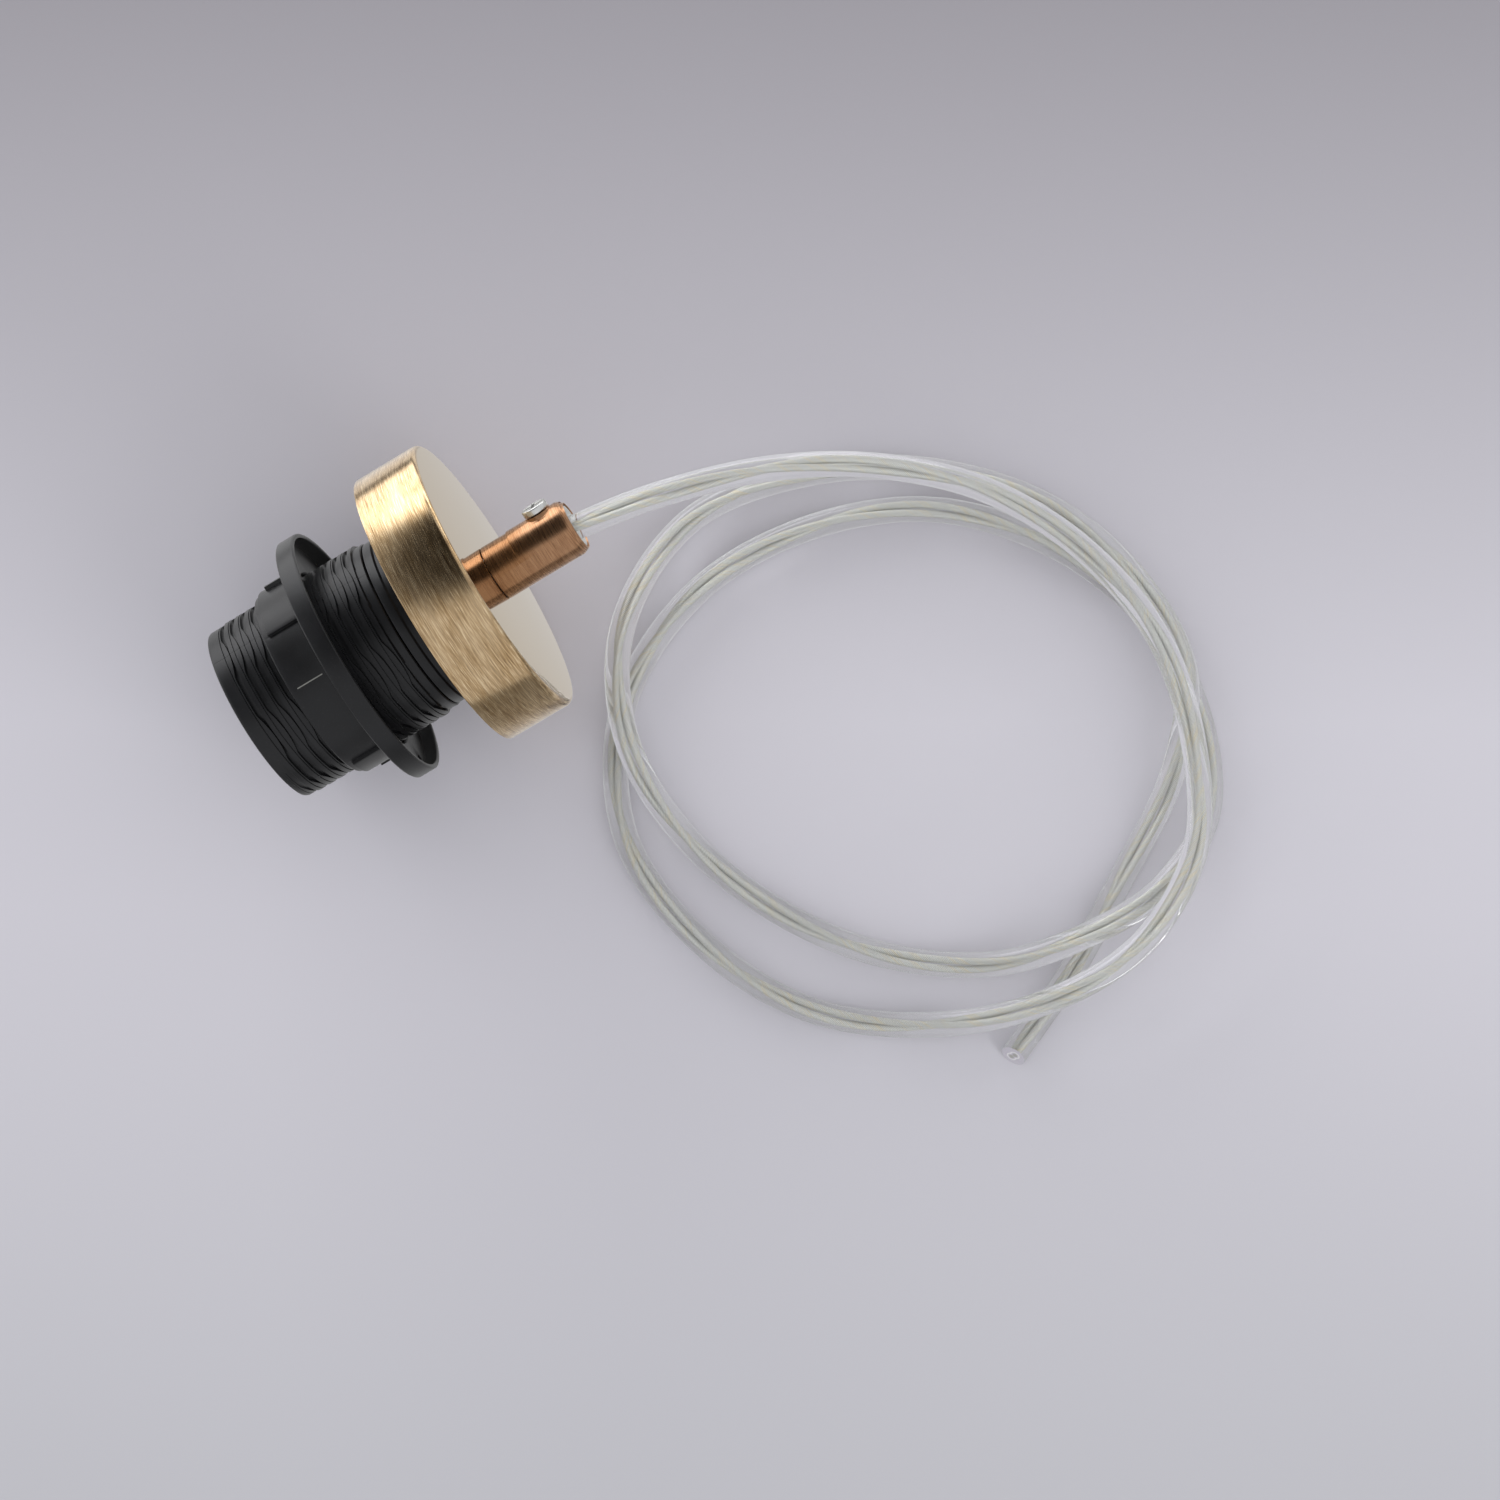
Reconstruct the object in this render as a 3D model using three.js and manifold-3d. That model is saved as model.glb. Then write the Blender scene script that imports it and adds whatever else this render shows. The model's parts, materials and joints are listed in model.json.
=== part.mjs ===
// Pendant cord set: a threaded black lamp holder with its shade ring, a brass cup, a copper
// cord grip and about a metre of clear round flex. It lies on a table on the rims of its cup
// and shade ring, with the cord end raised. Millimetres, +Z up, +X along the holder towards
// the cord. Inside the holder, t is the distance from the open end along its axis.
import * as THREE from 'three';
import { mergeVertices } from 'three/addons/utils/BufferGeometryUtils.js';
import Module from 'manifold-3d';

const wasm = await Module();
wasm.setup();

// Clearances, and how far a cutting solid runs past the face that it opens
const SEAT_GAP = 0.3;
const CORD_ROOM = 0.4;
const CUT_PAST = 1;

// Barrel, with the outer thread that carries the shade ring and the lamp thread inside
const BARREL_DIAMETER = 39.7;
const BARREL_LENGTH = 37.3;
const BARREL_SKIRT_DIAMETER = 39.2;
const BARREL_BAND_DIAMETER = 38.5;
const BARREL_BAND_LENGTH = 2.1;
const BARREL_OUTER_WALL = 2.05;
const BARREL_LIP_ROUNDING = 0.6;
const THREAD_PITCH = 2.5;
const THREAD_DEPTH = 0.8;
const THREAD_START = 2.7;
const MOUTH_WALL = 1.6;
const MOUTH_DEPTH = 4.5;
const MOUTH_CONE_DEPTH = 3.5;
const LAMP_THREAD_DIAMETER = 27;
const LAMP_THREAD_PITCH = 3.6;
const LAMP_THREAD_DEPTH = 0.9;
const LAMP_TUBE_WALL = 1.8;
const LAMP_TUBE_PLAIN_END = 4.7;
const BARREL_ROOT_FLOOR = 2.5;

// Cap, screwed into the barrel
const CAP_DIAMETER = 38;
const CAP_RIM_HEIGHT = 1.8;
const CAP_RIM_STEP = 0.4;
const CAP_HEIGHT = 19.15;
const CAP_STRAIGHT_HEIGHT = 6.9;
const CAP_TOP_DIAMETER = 19;
const CAP_TOP_THICKNESS = 4.75;
const CAP_WALL = 3.7;
const CAP_BOSS_DIAMETER = 16.4;
const CAP_BOSS_LENGTH = 6.25;
const SPIGOT_LENGTH = 4.6;
const SPIGOT_WALL = 1.8;

// Brass cup
const CUP_DIAMETER = 62;
const CUP_DEPTH = 14.65;
const CUP_WALL = 0.8;
const CUP_ROUNDING = 1.2;
const CUP_LIP_ROUNDING = 0.3;

// Cord grip, its liner and its side screw
const GRIP_DIAMETER = 12;
const GRIP_WALL = 0.85;
const GRIP_LENGTH = 19.3;
const GRIP_CHAMFER_LENGTH = 1.4;
const GRIP_CHAMFER_DEPTH = 0.66;
const GRIP_BASE_ROUNDING = 0.3;
const GRIP_SCREW_SETBACK = 5.45;
const GRIP_SCREW_TURN = 75;
const GRIP_BOSS_DIAMETER = 5.8;
const GRIP_BOSS_HEIGHT = 0.3;
const LINER_SETBACK = 0.2;
const LINER_FLARE_LENGTH = 3;
const LINER_LIP = 0.35;
const PAD_THICKNESS = 0.8;
const SCREW_DIAMETER = 2.9;
const SCREW_HEAD_DIAMETER = 5.6;
const SCREW_HEAD_HEIGHT = 1.5;
const SCREW_SLOT_WIDTH = 0.8;
const SCREW_SLOT_DEPTH = 0.7;
const SCREW_CROSS_LENGTH = 3.4;

// Threaded tube through cap, cup and grip, and the grub screw that locks it
const NIPPLE_WALL = 1.35;
const NIPPLE_IN_GRIP = 5.65;
const GRUB_DIAMETER = 2.9;
const GRUB_LENGTH = 6;
const GRUB_SOCKET_DIAMETER = 1.7;
const GRUB_SOCKET_DEPTH = 1.5;
const GRUB_DEPTH_IN_CAP = 2.7;

// Contact block with its two contacts and terminals
const BLOCK_FLANGE_THICKNESS = 2.7;
const BLOCK_HEIGHT = 11;
const POCKET_FLOOR = 6.7;
const PARTITION_THICKNESS = 3.8;
const TERMINAL_LENGTH = 7;
const TERMINAL_WIDTH = 5.5;
const TERMINAL_HEIGHT = 7;
const WIRE_HOLE_DIAMETER = 2.4;
const WIRE_HOLE_DEPTH = 4.5;
const WIRE_HOLE_INSET = 2.2;
const CLAMP_SCREW_DIAMETER = 2.9;
const CLAMP_SCREW_LEVEL = 2.2;
const CLAMP_HEAD_DIAMETER = 4.4;
const CLAMP_HEAD_HEIGHT = 1.4;
const RIVET_DIAMETER = 2.4;
const RIVET_OFFSET = 6;
const RIVET_HEAD_DIAMETER = 4.4;
const RIVET_HEAD_HEIGHT = 0.6;
const CONTACT_THICKNESS = 0.4;
const CONTACT_WIDTH = 5;
const CONTACT_FOOT = 2.5;
const CENTRE_CONTACT_DROP = 2.6;
const CENTRE_CONTACT_REACH = 2;
const SIDE_CONTACT_RADIUS = 11;
const SIDE_CONTACT_DROP = 4.6;

// Shade ring
const RING_START = 12.4;
const RING_SLEEVE_LENGTH = 9.4;
const RING_SLEEVE_WALL = 0.75;
const RING_DIAMETER = 56.4;
const RING_RIM_HEIGHT = 4.7;
const RING_RIM_WALL = 1.5;
const RING_FLOOR_THICKNESS = 1.5;
const RING_EDGE_ROUNDING = 0.3;
const RING_GROOVE_WIDTH = 0.5;
const RING_GROOVE_DEPTH = 0.4;
const RING_BORE_CHAMFER = 0.5;
const RING_PAD_THICKNESS = 0.7;
const RING_PAD_ANGLE = 84;
const RING_PAD_SETBACK = 1.4;
const RING_PAD_TURN = 75;
const RING_RIB_HEIGHT = 0.9;
const RING_RIB_WIDTH = 1;
const RING_RIB_SETBACK = 3.4;
const RING_SLOT_LENGTH = 2;
const RING_SLOT_WIDTH = 1.2;
const RING_SLOT_RADIUS = 25.2;
const RING_SLOT_TURN = 77;

// Flex: its diameter, its two cores, and the route of its centre line over the table from
// the grip to its cut end. The points are in the frame of the whole part.
const CORD_DIAMETER = 5.4;
const CORE_DIAMETER = 2.2;
const CORE_SPACING = 2.5;
const FERRULE_DIAMETER = 1.6;
const SHEATH_IN_NIPPLE = 12;
const CORD_EXIT_SHIFT = -0.4;
const CORD_SIDES = 10;
const CORD_STEPS = 76;
const ROUTE = [
  [55.5, -3, 36.6], [78, -9.5, 32.9], [98.5, -20, 25.6], [116.5, -36, 18.9],
  [128, -56.5, 15.5], [132.5, -81, 14.6], [127.5, -104.5, 13.7], [116.5, -124, 11.8],
  [97.5, -135, 10.3], [76, -136, 9], [52.5, -129, 3.9], [30, -112.5, 2.9],
  [17, -88, 2.9], [14.5, -60.5, 2.9], [28, -36.5, 2.9], [53, -23.5, 2.9],
  [80.5, -23.5, 2.9], [106.5, -34, 2.9], [125, -54.5, 2.9], [134, -79, 2.9],
  [132, -102, 2.9], [123, -119.5, 3], [107, -127.5, 5.3], [90, -128, 8.6],
  [68.5, -123.5, 4.5], [47.5, -108.5, 3], [32.5, -87, 3], [25, -64.5, 3.8],
  [25.5, -42, 8.5], [37, -21.5, 7], [60.5, -9.5, 3.1], [88, -14, 2.9],
  [112, -28, 2.9], [128.5, -47.5, 3.9], [135.5, -70, 8.3], [134, -91, 9],
  [121, -108, 5.5], [101, -121.5, 3], [81, -133.5, 2.9], [60.5, -143, 2.9],
];

// Facets of the round pieces
const WIDE_SIDES = 48;
const BODY_SIDES = 36;
const GRIP_SIDES = 32;
const SMALL_SIDES = 20;
const WIRE_SIDES = 8;
const HEX_SIDES = 6;

// Places along the holder's axis, from the open end
const capRim = BARREL_LENGTH + SEAT_GAP;
const capTop = capRim + CAP_HEIGHT;
const cupInside = capTop + SEAT_GAP;
const cupTop = cupInside + CUP_WALL;
const cupEdge = cupTop - CUP_DEPTH;
const gripBase = cupTop + SEAT_GAP;
const gripEnd = gripBase + GRIP_LENGTH;
const spigotEnd = capRim - SPIGOT_LENGTH;
const blockBase = spigotEnd - SEAT_GAP - BLOCK_FLANGE_THICKNESS;
const blockShelf = blockBase - SEAT_GAP;
const terminalBase = blockBase + POCKET_FLOOR + SEAT_GAP;
const terminalTop = terminalBase + TERMINAL_HEIGHT;
const nippleBase = capTop - CAP_BOSS_LENGTH + SEAT_GAP;
const nippleTop = gripBase + NIPPLE_IN_GRIP;
const sheathEnd = nippleTop - SHEATH_IN_NIPPLE;
const linerBase = nippleTop + SEAT_GAP;
const linerEnd = gripEnd - LINER_SETBACK;
const screwPlace = gripEnd - GRIP_SCREW_SETBACK;
const ringFlange = RING_START + RING_SLEEVE_LENGTH;
const ringTop = ringFlange + RING_RIM_HEIGHT;

// Radii that follow from the fits
const barrelRadius = BARREL_DIAMETER / 2;
const threadRoot = barrelRadius - THREAD_DEPTH;
const barrelInside = threadRoot - BARREL_OUTER_WALL;
const spigotRadius = barrelInside - SEAT_GAP;
const spigotInside = spigotRadius - SPIGOT_WALL;
const capBody = CAP_DIAMETER / 2 - CAP_RIM_STEP;
const capInside = Math.min(spigotInside, capBody - CAP_WALL);
const gripBore = GRIP_DIAMETER / 2 - GRIP_WALL;
const nippleRadius = gripBore - SEAT_GAP;
const cordRadius = CORD_DIAMETER / 2;
const linerBore = cordRadius + CORD_ROOM;
const gripFoot = GRIP_DIAMETER / 2 + SEAT_GAP;
const ringBore = barrelRadius + SEAT_GAP;
const ringSleeve = ringBore + RING_SLEEVE_WALL;
const ringRadius = RING_DIAMETER / 2;
const cupRadius = CUP_DIAMETER / 2;

// The pose: cup and shade ring both touch the table, and the origin is under the middle
// of everything but the cord
const cupFoot = cupEdge + CUP_LIP_ROUNDING;
const ringFoot = ringFlange + RING_EDGE_ROUNDING;
const tilt = Math.atan((cupRadius - ringRadius) / (cupFoot - ringFoot));
const axisHeight = ringRadius * Math.cos(tilt) - ringFoot * Math.sin(tilt);
const mouthReach = -(BARREL_SKIRT_DIAMETER / 2 - BARREL_LIP_ROUNDING) * Math.sin(tilt);
const gripReach = gripEnd * Math.cos(tilt)
  + (GRIP_DIAMETER / 2 - GRIP_CHAMFER_DEPTH) * Math.sin(tilt);
const axisStart = -(mouthReach + gripReach) / 2;

const blackPlastic = new THREE.MeshStandardMaterial({ color: 0x232324, roughness: 0.55 });
const ceramic = new THREE.MeshStandardMaterial({ color: 0xe6e2d8, roughness: 0.5 });
const agedBrass = new THREE.MeshStandardMaterial({
  color: 0x8d7347, roughness: 0.38, metalness: 1,
});
const brownCopper = new THREE.MeshStandardMaterial({
  color: 0x84573a, roughness: 0.35, metalness: 1,
});
const brass = new THREE.MeshStandardMaterial({ color: 0xc8a552, roughness: 0.35, metalness: 1 });
const steel = new THREE.MeshStandardMaterial({ color: 0xc6c6c4, roughness: 0.3, metalness: 1 });
const tin = new THREE.MeshStandardMaterial({ color: 0xbdbcb6, roughness: 0.4, metalness: 1 });
const palePlastic = new THREE.MeshStandardMaterial({ color: 0xd4d3cf, roughness: 0.5 });
const clearPlastic = new THREE.MeshStandardMaterial({ color: 0xcfcec9, roughness: 0.2 });

// Solids

function toSolid(geometry) {
  const bare = geometry.clone();
  bare.deleteAttribute('normal');
  bare.deleteAttribute('uv');
  const merged = mergeVertices(bare);
  return new wasm.Manifold(new wasm.Mesh({
    numProp: 3,
    vertProperties: new Float32Array(merged.attributes.position.array),
    triVerts: new Uint32Array(merged.index.array),
  }));
}

function toGeometry(solid) {
  const { vertProperties, triVerts } = solid.getMesh();
  const geometry = new THREE.BufferGeometry();
  geometry.setAttribute('position', new THREE.BufferAttribute(vertProperties, 3));
  geometry.setIndex(new THREE.BufferAttribute(triVerts, 1));
  geometry.computeVertexNormals();
  return geometry;
}

function cut(body, ...tools) {
  const solids = tools.map(toSolid);
  return toGeometry(solids.reduce((left, tool) => left.subtract(tool), toSolid(body)));
}

function join(body, ...additions) {
  const solids = additions.map(toSolid);
  return toGeometry(solids.reduce((sum, next) => sum.add(next), toSolid(body)));
}

// A turned piece from its half section: [radius, t] points, up the outside and down the inside
function turned(section, sides = SMALL_SIDES) {
  const points = [...section, section[0]].map(([radius, t]) => new THREE.Vector2(radius, t));
  return new THREE.LatheGeometry(points, sides).rotateX(Math.PI / 2);
}

// A rod along the axis
function rod(radius, from, to, sides = SMALL_SIDES) {
  const geometry = new THREE.CylinderGeometry(radius, radius, to - from, sides);
  return geometry.rotateX(Math.PI / 2).translate(0, 0, (from + to) / 2);
}

// A rod that points away from the axis along X, at height t
function spoke(radius, from, to, t, sides = SMALL_SIDES) {
  const geometry = new THREE.CylinderGeometry(radius, radius, to - from, sides);
  return geometry.rotateZ(-Math.PI / 2).translate((from + to) / 2, 0, t);
}

// A block between two corners
function block([x0, y0, z0], [x1, y1, z1]) {
  const geometry = new THREE.BoxGeometry(x1 - x0, y1 - y0, z1 - z0);
  return geometry.translate((x0 + x1) / 2, (y0 + y1) / 2, (z0 + z1) / 2);
}

// The angle about the axis of a feature seen from above, in degrees from the top
// towards the +Y side
function seenFromAbove(degrees) {
  return Math.PI - THREE.MathUtils.degToRad(degrees);
}

// The zigzag of a thread's section, from its first root to its last
function threadSection(root, crest, start, pitch, turns) {
  const points = [];
  for (let turn = 0; turn < turns; turn += 1) {
    points.push([root, start + turn * pitch], [crest, start + (turn + 0.5) * pitch]);
  }
  points.push([root, start + turns * pitch]);
  return points;
}

function wholeTurns(length, pitch) {
  return Math.floor(length / pitch + 0.01);
}

// A round bar along a curve through points
function bar(points, diameter, sides, steps) {
  const outline = [];
  for (let side = 0; side < sides; side += 1) {
    const angle = (side / sides) * 2 * Math.PI;
    outline.push(new THREE.Vector2(Math.cos(angle), Math.sin(angle)).multiplyScalar(diameter / 2));
  }
  return new THREE.ExtrudeGeometry(new THREE.Shape(outline), {
    steps,
    bevelEnabled: false,
    extrudePath: new THREE.CatmullRomCurve3(points),
  });
}

// The pieces, one function each

function barrel() {
  const lip = BARREL_LIP_ROUNDING;
  const skirt = BARREL_SKIRT_DIAMETER / 2;
  const band = BARREL_BAND_DIAMETER / 2;
  const threadRoom = BARREL_LENGTH - BARREL_BAND_LENGTH - THREAD_START;
  const outside = threadSection(threadRoot, barrelRadius, THREAD_START, THREAD_PITCH,
    wholeTurns(threadRoom, THREAD_PITCH));
  const lampRoot = LAMP_THREAD_DIAMETER / 2;
  const lampStart = MOUTH_DEPTH + MOUTH_CONE_DEPTH + LAMP_THREAD_PITCH / 4;
  const lampRoom = blockShelf - LAMP_TUBE_PLAIN_END - lampStart;
  const inside = threadSection(lampRoot, lampRoot - LAMP_THREAD_DEPTH, lampStart,
    LAMP_THREAD_PITCH, wholeTurns(lampRoom, LAMP_THREAD_PITCH)).reverse();
  const mouth = skirt - MOUTH_WALL;
  const tube = lampRoot + LAMP_TUBE_WALL;
  return turned([
    [skirt - lip, 0],
    [skirt, lip],
    [skirt, THREAD_START - (skirt - threadRoot) / 2],
    ...outside,
    [band, BARREL_LENGTH - BARREL_BAND_LENGTH + (band - threadRoot)],
    [band, BARREL_LENGTH],
    [barrelInside, BARREL_LENGTH],
    [barrelInside, MOUTH_DEPTH + MOUTH_CONE_DEPTH + BARREL_ROOT_FLOOR],
    [tube, MOUTH_DEPTH + MOUTH_CONE_DEPTH + BARREL_ROOT_FLOOR],
    [tube, blockShelf],
    [lampRoot, blockShelf],
    ...inside,
    [lampRoot + LAMP_THREAD_DEPTH, MOUTH_DEPTH + MOUTH_CONE_DEPTH],
    [mouth - lip / 2, MOUTH_DEPTH],
    [mouth, lip / 2],
    [mouth + lip / 2, 0],
  ], BODY_SIDES);
}

function shadeRing() {
  const edge = RING_EDGE_ROUNDING;
  const floor = ringFlange + RING_FLOOR_THICKNESS;
  const wall = ringRadius - RING_RIM_WALL;
  const body = turned([
    [ringSleeve - edge, RING_START],
    [ringSleeve, RING_START + edge],
    [ringSleeve, ringFlange],
    [ringRadius - edge, ringFlange],
    [ringRadius, ringFoot],
    [ringRadius, ringTop - edge],
    [ringRadius - edge, ringTop],
    [wall + edge, ringTop],
    [wall, ringTop - edge],
    [wall, floor - RING_GROOVE_DEPTH],
    [wall - RING_GROOVE_WIDTH, floor - RING_GROOVE_DEPTH],
    [wall - RING_GROOVE_WIDTH, floor],
    [ringBore + RING_BORE_CHAMFER, floor],
    [ringBore, floor - RING_BORE_CHAMFER],
    [ringBore, RING_START],
  ], WIDE_SIDES);

  const overlap = RING_SLEEVE_WALL / 2;
  const half = THREE.MathUtils.degToRad(RING_PAD_ANGLE / 2);
  const padRadius = ringSleeve + RING_PAD_THICKNESS;
  const outline = new THREE.Shape();
  outline.absarc(0, 0, padRadius, -half, half, false);
  outline.absarc(0, 0, ringSleeve - overlap, half, -half, true);
  const additions = [];
  const slots = [];
  for (const side of [0, 180]) {
    const padBase = RING_START + RING_PAD_SETBACK;
    const pad = new THREE.ExtrudeGeometry(outline, {
      depth: ringFlange + overlap - padBase,
      bevelEnabled: false,
      curveSegments: 8,
    });
    const rib = block(
      [padRadius - overlap, -RING_RIB_WIDTH / 2, RING_START + RING_RIB_SETBACK],
      [padRadius + RING_RIB_HEIGHT, RING_RIB_WIDTH / 2, ringFlange + overlap],
    );
    const slot = block(
      [RING_SLOT_RADIUS - RING_SLOT_WIDTH / 2, -RING_SLOT_LENGTH / 2, ringFlange - CUT_PAST],
      [RING_SLOT_RADIUS + RING_SLOT_WIDTH / 2, RING_SLOT_LENGTH / 2, floor + CUT_PAST],
    );
    const padAngle = seenFromAbove(RING_PAD_TURN + side);
    additions.push(pad.translate(0, 0, padBase).rotateZ(padAngle), rib.rotateZ(padAngle));
    slots.push(slot.rotateZ(seenFromAbove(RING_SLOT_TURN + side)));
  }
  return cut(join(body, ...additions), ...slots);
}

function cap() {
  const radius = CAP_DIAMETER / 2;
  const crown = CAP_TOP_DIAMETER / 2;
  const straightEnd = capRim + CAP_STRAIGHT_HEIGHT;
  const boss = CAP_BOSS_DIAMETER / 2;
  const ceiling = capTop - CAP_TOP_THICKNESS;
  const arcSteps = 6;
  const dome = [];
  const vault = [];
  for (let step = 0; step <= arcSteps; step += 1) {
    const angle = (step / arcSteps) * (Math.PI / 2);
    dome.push([
      crown + (capBody - crown) * Math.cos(angle),
      straightEnd + (capTop - straightEnd) * Math.sin(angle),
    ]);
    vault.unshift([
      boss + (capInside - boss) * Math.cos(angle),
      straightEnd + (ceiling - straightEnd) * Math.sin(angle),
    ]);
  }
  const shell = turned([
    [spigotRadius, spigotEnd],
    [spigotRadius, capRim],
    [radius, capRim],
    [radius, capRim + CAP_RIM_HEIGHT],
    [capBody, capRim + CAP_RIM_HEIGHT + CAP_RIM_STEP],
    ...dome,
    [gripBore, capTop],
    [gripBore, capTop - CAP_BOSS_LENGTH],
    [boss, capTop - CAP_BOSS_LENGTH],
    ...vault,
    [spigotInside, spigotEnd],
  ], BODY_SIDES);
  const level = capTop - GRUB_DEPTH_IN_CAP;
  return cut(shell, spoke(GRUB_DIAMETER / 2 + SEAT_GAP, gripBore - CUT_PAST, radius, level));
}

function lockingScrew() {
  const tip = nippleRadius + SEAT_GAP;
  const level = capTop - GRUB_DEPTH_IN_CAP;
  const outer = tip + GRUB_LENGTH;
  const socket = spoke(GRUB_SOCKET_DIAMETER / 2, outer - GRUB_SOCKET_DEPTH, outer + CUT_PAST,
    level, HEX_SIDES);
  return cut(spoke(GRUB_DIAMETER / 2, tip, outer, level), socket);
}

function nipple() {
  return turned([
    [nippleRadius, nippleBase],
    [nippleRadius, nippleTop],
    [nippleRadius - NIPPLE_WALL, nippleTop],
    [nippleRadius - NIPPLE_WALL, nippleBase],
  ]);
}

function brassCup() {
  const lip = CUP_LIP_ROUNDING;
  const inner = cupRadius - CUP_WALL;
  const innerRounding = CUP_ROUNDING - CUP_WALL;
  const arcSteps = 3;
  const shoulder = [];
  for (let step = 0; step <= arcSteps; step += 1) {
    const angle = (step / arcSteps) * (Math.PI / 2);
    shoulder.push([
      cupRadius - CUP_ROUNDING * (1 - Math.cos(angle)),
      cupTop - CUP_ROUNDING * (1 - Math.sin(angle)),
    ]);
  }
  return turned([
    [cupRadius - lip, cupEdge],
    [cupRadius, cupFoot],
    ...shoulder,
    [gripFoot, cupTop],
    [gripBore, cupTop],
    [gripBore, cupInside],
    [inner - innerRounding, cupInside],
    [inner, cupInside - innerRounding],
    [inner, cupEdge],
  ], WIDE_SIDES);
}

function cordGrip() {
  const radius = GRIP_DIAMETER / 2;
  const tube = turned([
    [radius - GRIP_BASE_ROUNDING, gripBase],
    [radius, gripBase + GRIP_BASE_ROUNDING],
    [radius, gripEnd - GRIP_CHAMFER_LENGTH],
    [radius - GRIP_CHAMFER_DEPTH, gripEnd],
    [gripBore, gripEnd],
    [gripBore, gripBase],
  ], GRIP_SIDES);
  const bossRoot = gripBore + GRIP_WALL / 2;
  const boss = spoke(GRIP_BOSS_DIAMETER / 2, bossRoot, radius + GRIP_BOSS_HEIGHT, screwPlace);
  const hole = spoke(SCREW_DIAMETER / 2 + SEAT_GAP, 0, radius + GRIP_BOSS_HEIGHT + CUT_PAST,
    screwPlace);
  return cut(join(tube, boss), rod(gripBore, gripBase, gripEnd, GRIP_SIDES), hole)
    .rotateZ(seenFromAbove(GRIP_SCREW_TURN));
}

function gripLiner() {
  const radius = nippleRadius;
  const sleeve = turned([
    [radius, linerBase],
    [radius, linerEnd],
    [radius - LINER_LIP, linerEnd],
    [linerBore, linerEnd - LINER_FLARE_LENGTH],
    [linerBore, linerBase],
  ]);
  const hole = spoke(SCREW_DIAMETER / 2 + SEAT_GAP, 0, radius + CUT_PAST, screwPlace);
  return cut(sleeve, hole).rotateZ(seenFromAbove(GRIP_SCREW_TURN));
}

function clampPad() {
  const inner = cordRadius + SEAT_GAP;
  return spoke(SCREW_DIAMETER / 2, inner, inner + PAD_THICKNESS, screwPlace)
    .rotateZ(seenFromAbove(GRIP_SCREW_TURN));
}

function gripScrew() {
  const tip = cordRadius + PAD_THICKNESS + 2 * SEAT_GAP;
  const under = GRIP_DIAMETER / 2 + GRIP_BOSS_HEIGHT + SEAT_GAP;
  const top = under + SCREW_HEAD_HEIGHT;
  const head = SCREW_HEAD_DIAMETER / 2;
  const crown = 0.4;
  const headSection = turned([
    [head, 0],
    [head, SCREW_HEAD_HEIGHT - crown],
    [head - crown, SCREW_HEAD_HEIGHT],
    [SCREW_DIAMETER / 4, SCREW_HEAD_HEIGHT],
    [SCREW_DIAMETER / 4, 0],
  ]).rotateY(Math.PI / 2).translate(under, 0, screwPlace);
  const shank = spoke(SCREW_DIAMETER / 2, tip, top - SCREW_SLOT_DEPTH / 2, screwPlace);
  const half = SCREW_SLOT_WIDTH / 2;
  const floor = top - SCREW_SLOT_DEPTH;
  const slotReach = head + CUT_PAST;
  const slot = block([floor, -half, screwPlace - slotReach],
    [top + CUT_PAST, half, screwPlace + slotReach]);
  const reach = SCREW_CROSS_LENGTH / 2;
  const cross = block([floor, -reach, screwPlace - half],
    [top + CUT_PAST, reach, screwPlace + half]);
  return cut(join(headSection, shank), slot, cross).rotateZ(seenFromAbove(GRIP_SCREW_TURN));
}

function contactBlock() {
  const flange = spigotRadius - SEAT_GAP / 2;
  const body = capInside - CORD_ROOM;
  const blockTop = blockBase + BLOCK_HEIGHT;
  const solid = join(
    rod(flange, blockBase, blockBase + BLOCK_FLANGE_THICKNESS, BODY_SIDES),
    rod(body, blockBase + BLOCK_FLANGE_THICKNESS / 2, blockTop, BODY_SIDES),
  );
  const tools = [];
  const halfWidth = TERMINAL_WIDTH / 2 + SEAT_GAP;
  for (const side of [1, -1]) {
    const near = side * (PARTITION_THICKNESS / 2);
    const far = side * (body + CUT_PAST);
    tools.push(block(
      [-halfWidth, Math.min(near, far), blockBase + POCKET_FLOOR],
      [halfWidth, Math.max(near, far), blockTop + CUT_PAST],
    ));
    const rivetBore = rod(RIVET_DIAMETER / 2 + SEAT_GAP, blockBase - CUT_PAST,
      blockBase + POCKET_FLOOR + CUT_PAST);
    tools.push(rivetBore.translate(0, side * RIVET_OFFSET, 0));
  }
  return cut(solid, ...tools);
}

const terminalInner = PARTITION_THICKNESS / 2 + SEAT_GAP;
const wireOffset = terminalInner + WIRE_HOLE_INSET;
const clampLevel = terminalTop - CLAMP_SCREW_LEVEL;

function terminal(side) {
  const outer = terminalInner + TERMINAL_LENGTH;
  const body = block(
    [-TERMINAL_WIDTH / 2, terminalInner, terminalBase],
    [TERMINAL_WIDTH / 2, outer, terminalTop],
  );
  const wireHole = rod(WIRE_HOLE_DIAMETER / 2, terminalTop - WIRE_HOLE_DEPTH,
    terminalTop + CUT_PAST).translate(0, wireOffset, 0);
  const screwHole = spoke(CLAMP_SCREW_DIAMETER / 2 + SEAT_GAP, wireOffset, outer + CUT_PAST,
    clampLevel).rotateZ(Math.PI / 2);
  return cut(body, wireHole, screwHole).rotateZ(side > 0 ? 0 : Math.PI);
}

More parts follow.
